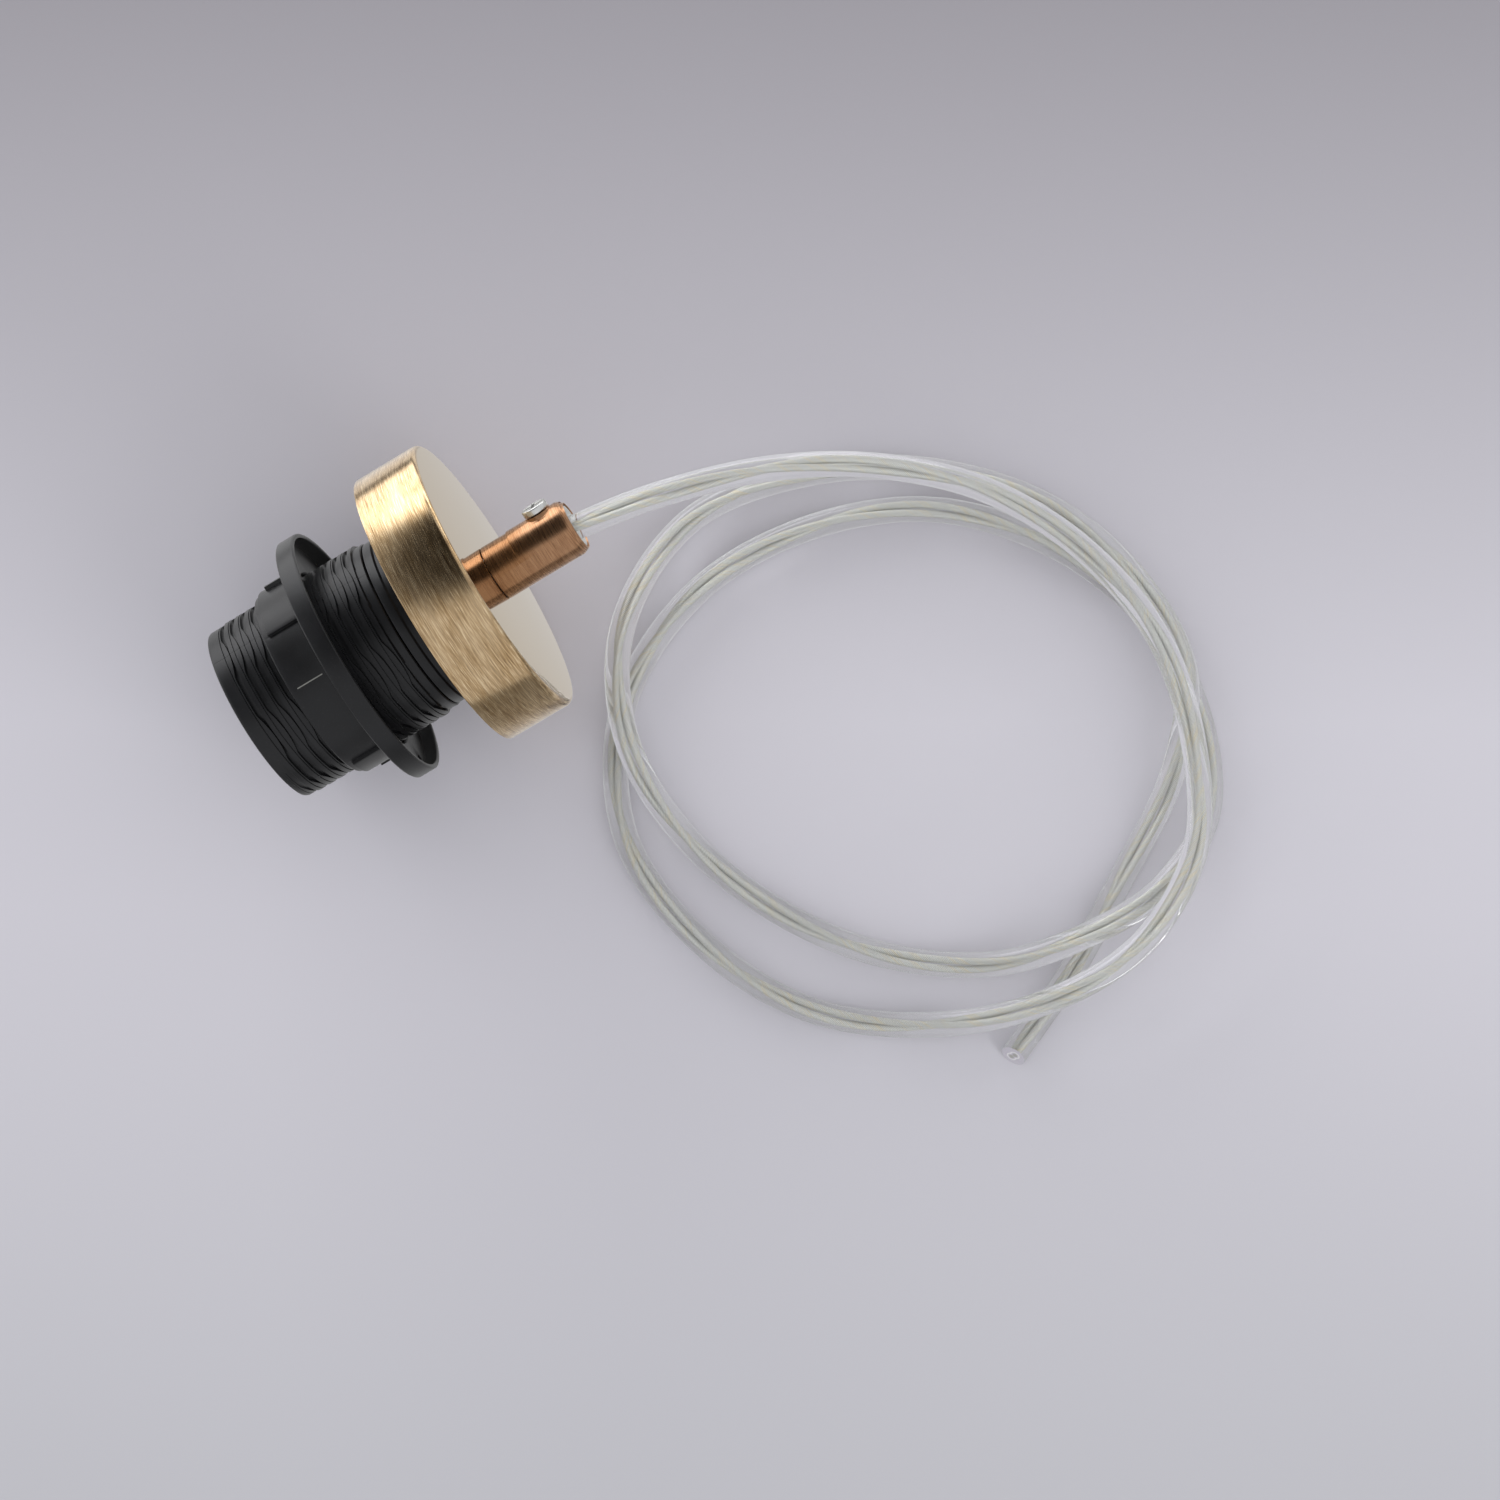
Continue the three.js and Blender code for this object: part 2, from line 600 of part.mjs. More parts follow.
function terminalScrew(side) {
  const tip = wireOffset + FERRULE_DIAMETER / 2 + SEAT_GAP;
  const under = terminalInner + TERMINAL_LENGTH + SEAT_GAP;
  const top = under + CLAMP_HEAD_HEIGHT;
  const shank = spoke(CLAMP_SCREW_DIAMETER / 2, tip, under + CLAMP_HEAD_HEIGHT / 2, clampLevel);
  const head = spoke(CLAMP_HEAD_DIAMETER / 2, under, top, clampLevel);
  const half = SCREW_SLOT_WIDTH / 2;
  const reach = CLAMP_HEAD_DIAMETER;
  const slot = block([top - SCREW_SLOT_DEPTH, -reach, clampLevel - half],
    [top + CUT_PAST, reach, clampLevel + half]);
  return cut(join(head, shank), slot).rotateZ(side * (Math.PI / 2));
}

// The foot of a contact lies under the block, and a rivet holds it
const contactTop = blockBase - SEAT_GAP;
const contactUnder = contactTop - CONTACT_THICKNESS;
const rivetHeadTop = contactUnder - SEAT_GAP;

function rivet(side) {
  const shank = rod(RIVET_DIAMETER / 2, rivetHeadTop - RIVET_HEAD_HEIGHT / 2,
    blockBase + POCKET_FLOOR);
  const head = rod(RIVET_HEAD_DIAMETER / 2, rivetHeadTop - RIVET_HEAD_HEIGHT, rivetHeadTop);
  return join(head, shank).translate(0, side * RIVET_OFFSET, 0);
}

// A bent strip from its side view in the plane of y and t
function strip(outline) {
  const shape = new THREE.Shape(outline.map(([y, t]) => new THREE.Vector2(y, t)));
  const geometry = new THREE.ExtrudeGeometry(shape, { depth: CONTACT_WIDTH, bevelEnabled: false });
  return geometry.translate(0, 0, -CONTACT_WIDTH / 2).rotateX(Math.PI / 2).rotateZ(Math.PI / 2);
}

function rivetHole(side) {
  return rod(RIVET_DIAMETER / 2 + SEAT_GAP, contactUnder - CUT_PAST, contactTop + CUT_PAST)
    .translate(0, side * RIVET_OFFSET, 0);
}

function centreContact() {
  const foot = RIVET_OFFSET + CONTACT_FOOT;
  const bend = RIVET_OFFSET - CONTACT_FOOT;
  const low = contactUnder - CENTRE_CONTACT_DROP;
  const leaf = strip([
    [foot, contactUnder],
    [foot, contactTop],
    [bend, contactTop],
    [-CENTRE_CONTACT_REACH / 2, low + CONTACT_THICKNESS],
    [-CENTRE_CONTACT_REACH, low + CONTACT_THICKNESS],
    [-CENTRE_CONTACT_REACH, low],
    [-CENTRE_CONTACT_REACH / 2, low],
    [bend, contactUnder],
  ]);
  return cut(leaf, rivetHole(1));
}

function sideContact() {
  const foot = RIVET_OFFSET - CONTACT_FOOT;
  const bend = SIDE_CONTACT_RADIUS + CONTACT_THICKNESS;
  const low = contactUnder - SIDE_CONTACT_DROP;
  const tongue = strip([
    [-foot, contactUnder],
    [-foot, contactTop],
    [-bend, contactTop],
    [-bend, low + CONTACT_THICKNESS],
    [-bend + CONTACT_THICKNESS, low],
    [-bend + 2 * CONTACT_THICKNESS, low],
    [-bend + CONTACT_THICKNESS, low + CONTACT_THICKNESS],
    [-bend + CONTACT_THICKNESS, contactUnder],
  ]);
  return cut(tongue, rivetHole(-1));
}

function core(side) {
  const start = sheathEnd - SEAT_GAP;
  const end = terminalTop + SEAT_GAP;
  const near = side * (CORE_SPACING / 2);
  const far = side * wireOffset;
  const bendHeight = (start - end) / 3;
  return bar([
    new THREE.Vector3(0, near, start),
    new THREE.Vector3(0, near, start - bendHeight / 2),
    new THREE.Vector3(0, (near + far) / 2, (start + end) / 2),
    new THREE.Vector3(0, far, end + bendHeight / 2),
    new THREE.Vector3(0, far, end),
  ], CORE_DIAMETER, WIRE_SIDES, WIRE_SIDES);
}

function ferrule(side) {
  const low = terminalTop - WIRE_HOLE_DEPTH + SEAT_GAP;
  return rod(FERRULE_DIAMETER / 2, low, terminalTop, WIRE_SIDES).translate(0, side * wireOffset, 0);
}

// A point in the frame of the whole part, t along the holder's axis and shifted along Y
function onAxis(t, shift = 0) {
  return new THREE.Vector3(
    axisStart + t * Math.cos(tilt),
    shift,
    axisHeight + t * Math.sin(tilt),
  );
}

function cord() {
  const flareStart = linerEnd - LINER_FLARE_LENGTH;
  const points = [
    onAxis(sheathEnd),
    onAxis((sheathEnd + flareStart) / 2),
    onAxis(flareStart),
    onAxis(gripEnd, CORD_EXIT_SHIFT),
    ...ROUTE.map((point) => new THREE.Vector3(...point)),
  ];
  return bar(points, CORD_DIAMETER, CORD_SIDES, CORD_STEPS);
}

// Assembly

const set = new THREE.Group();
const holder = new THREE.Group();
holder.rotation.y = Math.PI / 2 - tilt;
holder.position.copy(onAxis(0));
set.add(holder);

function place(parent, name, geometry, material) {
  const mesh = new THREE.Mesh(geometry, material);
  mesh.name = name;
  parent.add(mesh);
}

place(holder, 'barrel', barrel(), blackPlastic);
place(holder, 'shade_ring', shadeRing(), blackPlastic);
place(holder, 'cap', cap(), blackPlastic);
place(holder, 'locking_screw', lockingScrew(), steel);
place(holder, 'nipple', nipple(), steel);
place(holder, 'brass_cup', brassCup(), agedBrass);
place(holder, 'cord_grip', cordGrip(), brownCopper);
place(holder, 'grip_liner', gripLiner(), palePlastic);
place(holder, 'clamp_pad', clampPad(), palePlastic);
place(holder, 'grip_screw', gripScrew(), steel);
place(holder, 'contact_block', contactBlock(), ceramic);
place(holder, 'centre_contact', centreContact(), brass);
place(holder, 'side_contact', sideContact(), brass);
for (const [pole, side] of [['live', 1], ['neutral', -1]]) {
  place(holder, `${pole}_terminal`, terminal(side), brass);
  place(holder, `${pole}_terminal_screw`, terminalScrew(side), steel);
  place(holder, `${pole}_rivet`, rivet(side), brass);
  place(holder, `${pole}_core`, core(side), clearPlastic);
  place(holder, `${pole}_ferrule`, ferrule(side), tin);
}
place(set, 'cord', cord(), clearPlastic);

export default set;
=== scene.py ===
import json
import math

import bpy
from mathutils import Euler, Matrix, Quaternion, Vector


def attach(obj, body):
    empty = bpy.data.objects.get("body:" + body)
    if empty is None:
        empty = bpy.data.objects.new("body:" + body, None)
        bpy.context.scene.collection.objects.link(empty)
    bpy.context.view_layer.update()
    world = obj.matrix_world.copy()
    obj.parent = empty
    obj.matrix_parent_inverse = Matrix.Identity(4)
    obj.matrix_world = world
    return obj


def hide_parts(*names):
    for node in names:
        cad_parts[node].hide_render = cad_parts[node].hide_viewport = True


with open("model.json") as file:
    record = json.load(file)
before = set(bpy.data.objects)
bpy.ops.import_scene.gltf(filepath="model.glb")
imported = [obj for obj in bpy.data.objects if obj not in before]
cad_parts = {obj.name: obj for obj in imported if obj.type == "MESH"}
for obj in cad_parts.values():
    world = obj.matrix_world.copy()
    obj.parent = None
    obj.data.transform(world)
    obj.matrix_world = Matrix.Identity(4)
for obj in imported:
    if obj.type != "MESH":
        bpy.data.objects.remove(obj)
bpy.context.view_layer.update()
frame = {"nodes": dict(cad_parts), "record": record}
bpy.ops.object.select_all(action="DESELECT")

# Camera
# It looks straight down on the table from about a metre, turned so that the holder points
# to the upper right, and it takes in the whole coil of the flex.
CAMERA_PLACE = (0.0466, -0.0580, 0.976)
CAMERA_TURN = math.radians(-30.5)
CAMERA_LENS = 109.9
SENSOR_WIDTH = 36

bpy.ops.object.camera_add(location=CAMERA_PLACE, rotation=(0, 0, CAMERA_TURN))
camera = bpy.context.object
camera.data.lens = CAMERA_LENS
camera.data.sensor_width = SENSOR_WIDTH
bpy.context.scene.camera = camera
bpy.context.scene.view_settings.view_transform = "Standard"

# Flex
# A round sheath of clear plastic over two cores of tinned strands that turn slowly about each
# other. It is clamped in the cord grip, lies on the table in loose turns and is cut off aslant.
MM = 0.001
OPEN_END = Vector((-0.0375116, 0, 0.0250945))
AXIS = Vector(frame["record"]["mounts"][0]["axis"]).normalized()
SHEATH_START = 51.8 * MM
LINER_FLARE = 74.25 * MM
GRIP_END = 77.45 * MM
EXIT_SHIFT = Vector((0, -0.0004, 0))
FLEX_DIAMETER = 0.0054
ROUTE = [
    (0.0555, -0.0030, 0.0366), (0.0780, -0.0095, 0.0329), (0.0985, -0.0200, 0.0256),
    (0.1165, -0.0360, 0.0189), (0.1280, -0.0565, 0.0155), (0.1325, -0.0810, 0.0146),
    (0.1275, -0.1045, 0.0137), (0.1165, -0.1240, 0.0118), (0.0975, -0.1350, 0.0103),
    (0.0760, -0.1360, 0.0090), (0.0525, -0.1290, 0.0039), (0.0300, -0.1125, 0.0029),
    (0.0170, -0.0880, 0.0029), (0.0145, -0.0605, 0.0029), (0.0280, -0.0365, 0.0029),
    (0.0530, -0.0235, 0.0029), (0.0805, -0.0235, 0.0029), (0.1065, -0.0340, 0.0029),
    (0.1250, -0.0545, 0.0029), (0.1340, -0.0790, 0.0029), (0.1320, -0.1020, 0.0029),
    (0.1230, -0.1195, 0.0030), (0.1070, -0.1275, 0.0053), (0.0900, -0.1280, 0.0086),
    (0.0685, -0.1235, 0.0045), (0.0475, -0.1085, 0.0030), (0.0325, -0.0870, 0.0030),
    (0.0250, -0.0645, 0.0038), (0.0255, -0.0420, 0.0085), (0.0370, -0.0215, 0.0070),
    (0.0605, -0.0095, 0.0031), (0.0880, -0.0140, 0.0029), (0.1120, -0.0280, 0.0029),
    (0.1285, -0.0475, 0.0039), (0.1355, -0.0700, 0.0083), (0.1340, -0.0910, 0.0090),
    (0.1210, -0.1080, 0.0055), (0.1010, -0.1215, 0.0030), (0.0810, -0.1335, 0.0029),
    (0.0605, -0.1430, 0.0029),
]
CURVE_STEPS = 40
SHEATH_SIDES = 24
SHEATH_STEP = 0.0012
STRAND_STEP = 0.0007
BUNDLE_RADIUS = 0.00056
BUNDLE_OFFSET = 0.00062
BUNDLE_SIDES = 24
STRANDS_ROUND = 12
STRAND_RELIEF = 0.10
PAIR_LAY = 0.085
STRAND_LAY = 0.0065
BUNDLE_SETBACK = 0.0003
FLEX_SHARP = math.radians(60)


def on_axis(along):
    return OPEN_END + AXIS * along


def smooth_line(points, step):
    """Evenly spaced points along a centripetal curve through the points, and its length."""
    first = points[0] * 2 - points[1]
    last = points[-1] * 2 - points[-2]
    all_points = [first, *points, last]
    fine = []
    for a, b, c, d in zip(all_points, all_points[1:], all_points[2:], all_points[3:]):
        before, span, after = (math.sqrt((q - p).length) for p, q in ((a, b), (b, c), (c, d)))
        leave = ((b - a) / before - (c - a) / (before + span) + (c - b) / span) * span
        arrive = ((c - b) / span - (d - b) / (span + after) + (d - c) / after) * span
        for index in range(CURVE_STEPS):
            u = index / CURVE_STEPS
            fine.append(b + leave * u + (-3 * b + 3 * c - 2 * leave - arrive) * u ** 2
                        + (2 * b - 2 * c + leave + arrive) * u ** 3)
    fine.append(points[-1])
    total = sum((q - p).length for p, q in zip(fine, fine[1:]))
    count = round(total / step)
    even = [fine[0]]
    travelled = 0
    for p, q in zip(fine, fine[1:]):
        length = (q - p).length
        while len(even) < count and len(even) * total / count <= travelled + length:
            share = (len(even) * total / count - travelled) / length
            even.append(p.lerp(q, share))
        travelled += length
    even.append(fine[-1])
    return even, total


def carried_frames(line):
    """At each point of a line, a direction across it and the line's own direction."""
    frames = []
    across = AXIS.cross(Vector((0, 0, 1))).normalized()
    direction = (line[1] - line[0]).normalized()
    for index in range(len(line)):
        ahead = line[min(index + 1, len(line) - 1)] - line[max(index - 1, 0)]
        across = direction.rotation_difference(ahead.normalized()) @ across
        direction = ahead.normalized()
        across = (across - direction * across.dot(direction)).normalized()
        frames.append((across, direction))
    return frames


def drawn_tube(name, line, outline, twist=0.0, offset=0.0, offset_twist=0.0, phase=0.0):
    """A closed tube along a line. outline gives the radius at each side, twist turns it and
    offset_twist turns its centre about the line, both in radians per metre."""
    sides = len(outline)
    step = (line[1] - line[0]).length
    vertices, faces, places = [], [], []
    for index, (point, (across, direction)) in enumerate(zip(line, carried_frames(line))):
        along = index * step
        centre = point + (Quaternion(direction, offset_twist * along + phase) @ across) * offset
        for side in range(sides):
            turn = 2 * math.pi * side / sides + twist * along
            vertices.append(centre + (Quaternion(direction, turn) @ across) * outline[side])
            if index:
                here = index * sides + side
                near = index * sides + (side + 1) % sides
                faces.append((here - sides, near - sides, near, here))
                low, high = side / sides, (side + 1) / sides
                places += [(low, along - step), (high, along - step), (high, along), (low, along)]
    faces.append(tuple(reversed(range(sides))))
    faces.append(tuple(range(len(vertices) - sides, len(vertices))))
    places += [(side / sides, 0) for side in reversed(range(sides))]
    places += [(side / sides, (len(line) - 1) * step) for side in range(sides)]
    mesh = bpy.data.meshes.new(name)
    mesh.from_pydata(vertices, [], faces)
    layer = mesh.uv_layers.new(name="along_flex")
    for index, place in enumerate(places):
        layer.data[index].uv = place
    piece = bpy.data.objects.new(name, mesh)
    bpy.context.scene.collection.objects.link(piece)
    bpy.context.view_layer.objects.active = piece
    piece.select_set(True)
    bpy.ops.object.shade_smooth_by_angle(angle=FLEX_SHARP)
    piece.select_set(False)
    return piece


flex_exit = on_axis(GRIP_END) + EXIT_SHIFT
flex_points = [
    on_axis(SHEATH_START), on_axis((SHEATH_START + LINER_FLARE) / 2), on_axis(LINER_FLARE),
    flex_exit, *[Vector(point) for point in ROUTE],
]
sheath_line, flex_length = smooth_line(flex_points, SHEATH_STEP)
sheath = drawn_tube("flex_sheath", sheath_line, [FLEX_DIAMETER / 2] * SHEATH_SIDES)

strand_line = smooth_line(flex_points, STRAND_STEP)[0]
ends_inside = round(BUNDLE_SETBACK / STRAND_STEP) + 1
bundle_line = strand_line[ends_inside:-ends_inside]
bundle_outline = [
    BUNDLE_RADIUS * (1 - STRAND_RELIEF * (side % 2)) for side in range(BUNDLE_SIDES)
]
bundles = [
    drawn_tube(
        f"flex_strands_{pole}", bundle_line, bundle_outline, twist=2 * math.pi / STRAND_LAY,
        offset=BUNDLE_OFFSET, offset_twist=2 * math.pi / PAIR_LAY, phase=phase,
    )
    for pole, phase in (("live", 0), ("neutral", math.pi))
]

# The free end was cut off at a slant, so that its face looks up from the table. The slant
# fades out over a short reach, so that the tube behind it stays round.
CUT_SLANT = math.tan(math.radians(28))
CUT_REACH = 0.0072
cut_direction = (sheath_line[-1] - sheath_line[-2]).normalized()


def cut_aslant(piece, step, sides):
    """Leans the end of a tube back, most at its upper side and less away from the end."""
    for vertex in piece.data.vertices[-sides * round(CUT_REACH / step):]:
        from_end = (sheath_line[-1] - vertex.co).dot(cut_direction)
        height = vertex.co.z - sheath_line[-1].z + FLEX_DIAMETER / 2
        vertex.co -= cut_direction * height * CUT_SLANT * max(0, 1 - from_end / CUT_REACH)


cut_aslant(sheath, SHEATH_STEP, SHEATH_SIDES)
for bundle in bundles:
    cut_aslant(bundle, STRAND_STEP, BUNDLE_SIDES)


def feed_socket(tree, socket, value):
    """Sets a socket to a value, or links another node's output to it."""
    if isinstance(value, bpy.types.NodeSocket):
        tree.links.new(value, socket)
    else:
        socket.default_value = value


def add_node(tree, kind, inputs=(), **settings):
    """A shader node whose inputs are given by number or name, as values or other outputs."""
    made = tree.nodes.new("ShaderNode" + kind)
    for setting, value in settings.items():
        setattr(made, setting, value)
    for socket, value in dict(inputs).items():
        feed_socket(tree, made.inputs[socket], value)
    return made


class Finish:
    """A procedural material that is being put together node by node."""

    def __init__(self, name, **sockets):
        self.material = bpy.data.materials.new(name)
        self.material.use_nodes = True
        self.tree = self.material.node_tree
        self.shader = self.tree.nodes["Principled BSDF"]
        self.output = self.tree.nodes["Material Output"]
        for socket, value in sockets.items():
            self.shader.inputs[socket.replace("_", " ")].default_value = value

    def node(self, kind, inputs=(), **settings):
        return add_node(self.tree, kind, inputs, **settings)

    def feed(self, socket, value):
        feed_socket(self.tree, socket, value)

    def maths(self, operation, first, second=0.0, third=0.0):
        return self.node("Math", {0: first, 1: second, 2: third}, operation=operation).outputs[0]

    def noise(self, vector, scale, detail=3.0, roughness=0.5):
        made = self.node("TexNoise", {
            "Vector": vector, "Scale": scale, "Detail": detail, "Roughness": roughness,
        })
        return made.outputs["Fac"]

    def spread(self, value, low, high, to_low=0.0, to_high=1.0):
        made = self.node("MapRange", {
            "Value": value, "From Min": low, "From Max": high, "To Min": to_low,
            "To Max": to_high,
        })
        return made.outputs["Result"]

    def blend(self, share, first, second):
        made = self.node("Mix", {0: share}, data_type="RGBA")
        self.feed(made.inputs[6], first)
        self.feed(made.inputs[7], second)
        return made.outputs[2]

    def object_place(self):
        return self.node("TexCoord").outputs["Object"]

    def bump(self, height, distance, strength=1.0):
        made = self.node("Bump", {
            "Height": height, "Distance": distance, "Strength": strength,
        })
        self.tree.links.new(made.outputs["Normal"], self.shader.inputs["Normal"])

    def use(self, piece, slot):
        piece.data.materials.clear()
        piece.data.materials.append(self.material)


# Clear soft plastic that bends light. Lamps shine through it onto the strands inside.
CLEAR_TONE = (0.97, 0.97, 0.975, 1)
SHADOW_TONE = (0.96, 0.965, 0.97, 1)
clear_sheath = Finish(
    "clear_sheath", Base_Color=CLEAR_TONE, Roughness=0.04, IOR=1.5, Transmission_Weight=0.9)
let_through = clear_sheath.node("BsdfTransparent", {0: SHADOW_TONE})
light_path = clear_sheath.node("LightPath")
either = clear_sheath.node("MixShader", {
    0: light_path.outputs["Is Shadow Ray"], 1: clear_sheath.shader.outputs[0],
    2: let_through.outputs[0],
})
clear_sheath.feed(clear_sheath.output.inputs["Surface"], either.outputs[0])
clear_sheath.use(sheath, "clear_pvc")

# The cut face is matt, and shows the sleeves of the two cores as whitish rings.
CUT_TONE = (0.56, 0.53, 0.59, 1)
SLEEVE_TONE = (0.80, 0.79, 0.79, 1)
CORE_TONE = (0.42, 0.41, 0.38, 1)
SLEEVE_RADIUS = 0.00098
SLEEVE_HALF_WALL = 0.00014
SCUFF_SCALE = 2500
SCUFF_SHARE = 0.25
cut_face = Finish("cut_face", Roughness=0.55)
from_core = []
for bundle in bundles:
    ring_points = [vertex.co for vertex in bundle.data.vertices[-BUNDLE_SIDES:]]
    core_middle = sum(ring_points, Vector()) / BUNDLE_SIDES
    offset = cut_face.node("VectorMath", {0: cut_face.object_place(), 1: core_middle},
                           operation="SUBTRACT").outputs[0]
    along = cut_face.node("VectorMath", {0: offset, 1: cut_direction},
                          operation="PROJECT").outputs[0]
    across = cut_face.node("VectorMath", {0: offset, 1: along}, operation="SUBTRACT").outputs[0]
    from_core.append(cut_face.node("VectorMath", {0: across}, operation="LENGTH").outputs["Value"])
nearest = cut_face.maths("MINIMUM", *from_core)
sleeve = cut_face.maths("COMPARE", nearest, SLEEVE_RADIUS, SLEEVE_HALF_WALL)
core = cut_face.maths("LESS_THAN", nearest, BUNDLE_RADIUS)
scuff = cut_face.spread(
    cut_face.noise(cut_face.object_place(), SCUFF_SCALE), 0.35, 0.65, to_high=SCUFF_SHARE)
face_tone = cut_face.blend(scuff, CUT_TONE, SLEEVE_TONE)
face_tone = cut_face.blend(sleeve, face_tone, SLEEVE_TONE)
cut_face.feed(
    cut_face.shader.inputs["Base Color"], cut_face.blend(core, face_tone, CORE_TONE))
# The last face of the sheath's mesh is the cut one.
sheath.data.materials.append(cut_face.material)
sheath.data.polygons[-1].material_index = 1

# The strands are silver with golden ones among them, with painted shade in the crevices where they
# meet.
STRAND_SILVER = (0.66, 0.67, 0.62, 1)
STRAND_GOLD = (0.72, 0.66, 0.48, 1)
STRAND_CREVICE_SHADE = (0.09, 0.09, 0.075, 1)
STRAND_STRIDE = 7.3
TONES_PER_METRE = 90
tinned = Finish("tinned_strands", Metallic=0.7, Roughness=0.38)
place = tinned.node("SeparateXYZ", {0: tinned.node("UVMap", uv_map="along_flex").outputs[0]})
strand_phase = tinned.maths("MULTIPLY", place.outputs[0], STRANDS_ROUND)
in_strand = tinned.maths("ABSOLUTE", tinned.maths(
    "SUBTRACT", tinned.maths("FRACT", strand_phase), 0.5))
each = tinned.node("CombineXYZ", {
    0: tinned.maths("MULTIPLY", tinned.maths("FLOOR", strand_phase), STRAND_STRIDE),
    1: tinned.maths("MULTIPLY", place.outputs[1], TONES_PER_METRE),
})
strand_tone = tinned.spread(tinned.noise(each.outputs[0], 1.0, detail=1), 0.50, 0.72)
tone = tinned.blend(strand_tone, STRAND_SILVER, STRAND_GOLD)
# Painted shade: each strand darkens towards the crevice beside it.
crevice_shade = tinned.spread(in_strand, 0.12, 0.02)
tinned.feed(tinned.shader.inputs["Base Color"], tinned.blend(crevice_shade, tone, STRAND_CREVICE_SHADE))
for piece in bundles:
    tinned.use(piece, "tinned_wire")
    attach(piece, "holder")

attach(sheath, "holder")
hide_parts("cord")

# Barrel of the lamp holder
# It is moulded in black plastic, with a coarse outer thread for the shade ring, shallow
# lens-shaped facets beside the thread, and the lamp's thread inside. The cap screws into it.
HOLDER_TURN = Euler((0, math.atan2(AXIS.x, AXIS.z), 0))
HOLDER_PLACE = Matrix.Translation(OPEN_END) @ HOLDER_TURN.to_matrix().to_4x4()

# From here on, sizes are in mm, places are measured from the open end, turns are in degrees.
COLUMNS = 180
PITCH = 2.5
CREST = 19.85
CREST_END = 0.94
GROOVE = 19.05
SKIRT = 19.6
BAND = 19.25
BAND_END = 37.1
THREAD_END = 35.2
THREAD_END_REACH = 0.13
BARREL_END = 37.3
LIP = 0.6
CREST_AT_TOP = 0.32
TURNS_BEFORE = 1.5
RUN_IN_TURN = 218
RUN_IN_LENGTH = 60
LENS_MIDDLE = 40
LENS_SPACING = 60
LENS_HALF = 16.5
LENS_WIDTH = 0.87
LEDGE_END = 1.33
GROOVE_END = 2.38
# One pitch of the outer thread: places along it, each with its radius.
THREAD_SECTION = [
    (0.00, CREST), (0.12, CREST), (0.33, CREST), (0.61, CREST), (0.82, CREST),
    (CREST_END, CREST), (1.00, 19.62), (1.09, 19.62), (1.13, 19.76), (LEDGE_END, 19.76),
    (1.38, 19.25), (1.48, GROOVE), (1.78, GROOVE), (2.10, GROOVE), (GROOVE_END, GROOVE),
    (2.46, 19.30), (PITCH, CREST),
]
LAMP_PITCH = 3.6
LAMP_ROOT = 13.5
LAMP_DEPTH = 0.9
LAMP_THREAD_FROM = 8.9
LAMP_THREAD_TO = 24.2
LAMP_RAMP = 1.2
LAMP_ROWS = 14
# Half sections of the mouth and of the tube beyond the lamp's thread: radii, each with its place.
MOUTH_SECTION = [
    (19.42, 0.18), (19.0, 0), (18.3, 0), (18.09, 0.09), (18.0, 0.3), (17.85, 4.35),
    (17.6, 4.6), (14.6, 7.85), (14.4, 8.1), (LAMP_ROOT, LAMP_THREAD_FROM),
]
TUBE_SECTION = [
    (13.5, 29.4), (13.8, 29.7), (15.0, 29.7), (15.3, 29.4), (15.3, 10.5), (17.0, 10.5),
    (17.0, BAND_END), (17.2, BARREL_END), (19.05, BARREL_END), (BAND, BAND_END),
]
MERGE_WITHIN = 0.002
SAME_LEVEL = 0.01
HOLD_WITHIN = 0.03
SAME_TURN = 0.01
ROUNDING_ERROR = 0.001


def drop_all():
    bpy.ops.object.select_all(action="DESELECT")


def choose(piece):
    drop_all()
    piece.select_set(True)
    bpy.context.view_layer.objects.active = piece


def apply_modifier(piece, kind, **settings):
    choose(piece)
    modifier = piece.modifiers.new(kind.lower(), kind)
    for setting, value in settings.items():
        setattr(modifier, setting, value)
    bpy.ops.object.modifier_apply(modifier=modifier.name)


def half_section(name, points):
    """An edge that runs through the points of a half section, radius and place in mm."""
    bpy.ops.mesh.primitive_plane_add(size=MM)
    piece = bpy.context.object
    piece.name = name
    bpy.ops.object.mode_set(mode="EDIT")
    bpy.ops.mesh.select_mode(type="VERT")
    bpy.ops.mesh.select_all(action="SELECT")
    bpy.ops.mesh.merge(type="CENTER")
    at = Vector((0, 0, 0))
    for index, (radius, along) in enumerate(points):
        target = Vector((radius, 0, along)) * MM
        if index:
            bpy.ops.mesh.extrude_vertices_move(TRANSFORM_OT_translate={"value": target - at})
        else:
            bpy.ops.transform.translate(value=target)
        at = target
    bpy.ops.object.mode_set(mode="OBJECT")
    return piece


def turned(name, points, sides=COLUMNS, rise=0.0, turns=1):
    """A half section turned about the axis, or screwed along it by rise for each turn."""
    piece = half_section(name, points)
    apply_modifier(
        piece, "SCREW", axis="Z", angle=2 * math.pi, screw_offset=rise * MM, iterations=turns,
        steps=sides, render_steps=sides, use_merge_vertices=False,
    )
    mend(piece)
    return piece


def mend(piece):
    """Doubles merged and faces turned outwards."""
    choose(piece)
    bpy.ops.object.mode_set(mode="EDIT")
    bpy.ops.mesh.select_all(action="SELECT")
    bpy.ops.mesh.remove_doubles(threshold=MERGE_WITHIN * MM)
    bpy.ops.mesh.normals_make_consistent(inside=False)
    bpy.ops.object.mode_set(mode="OBJECT")


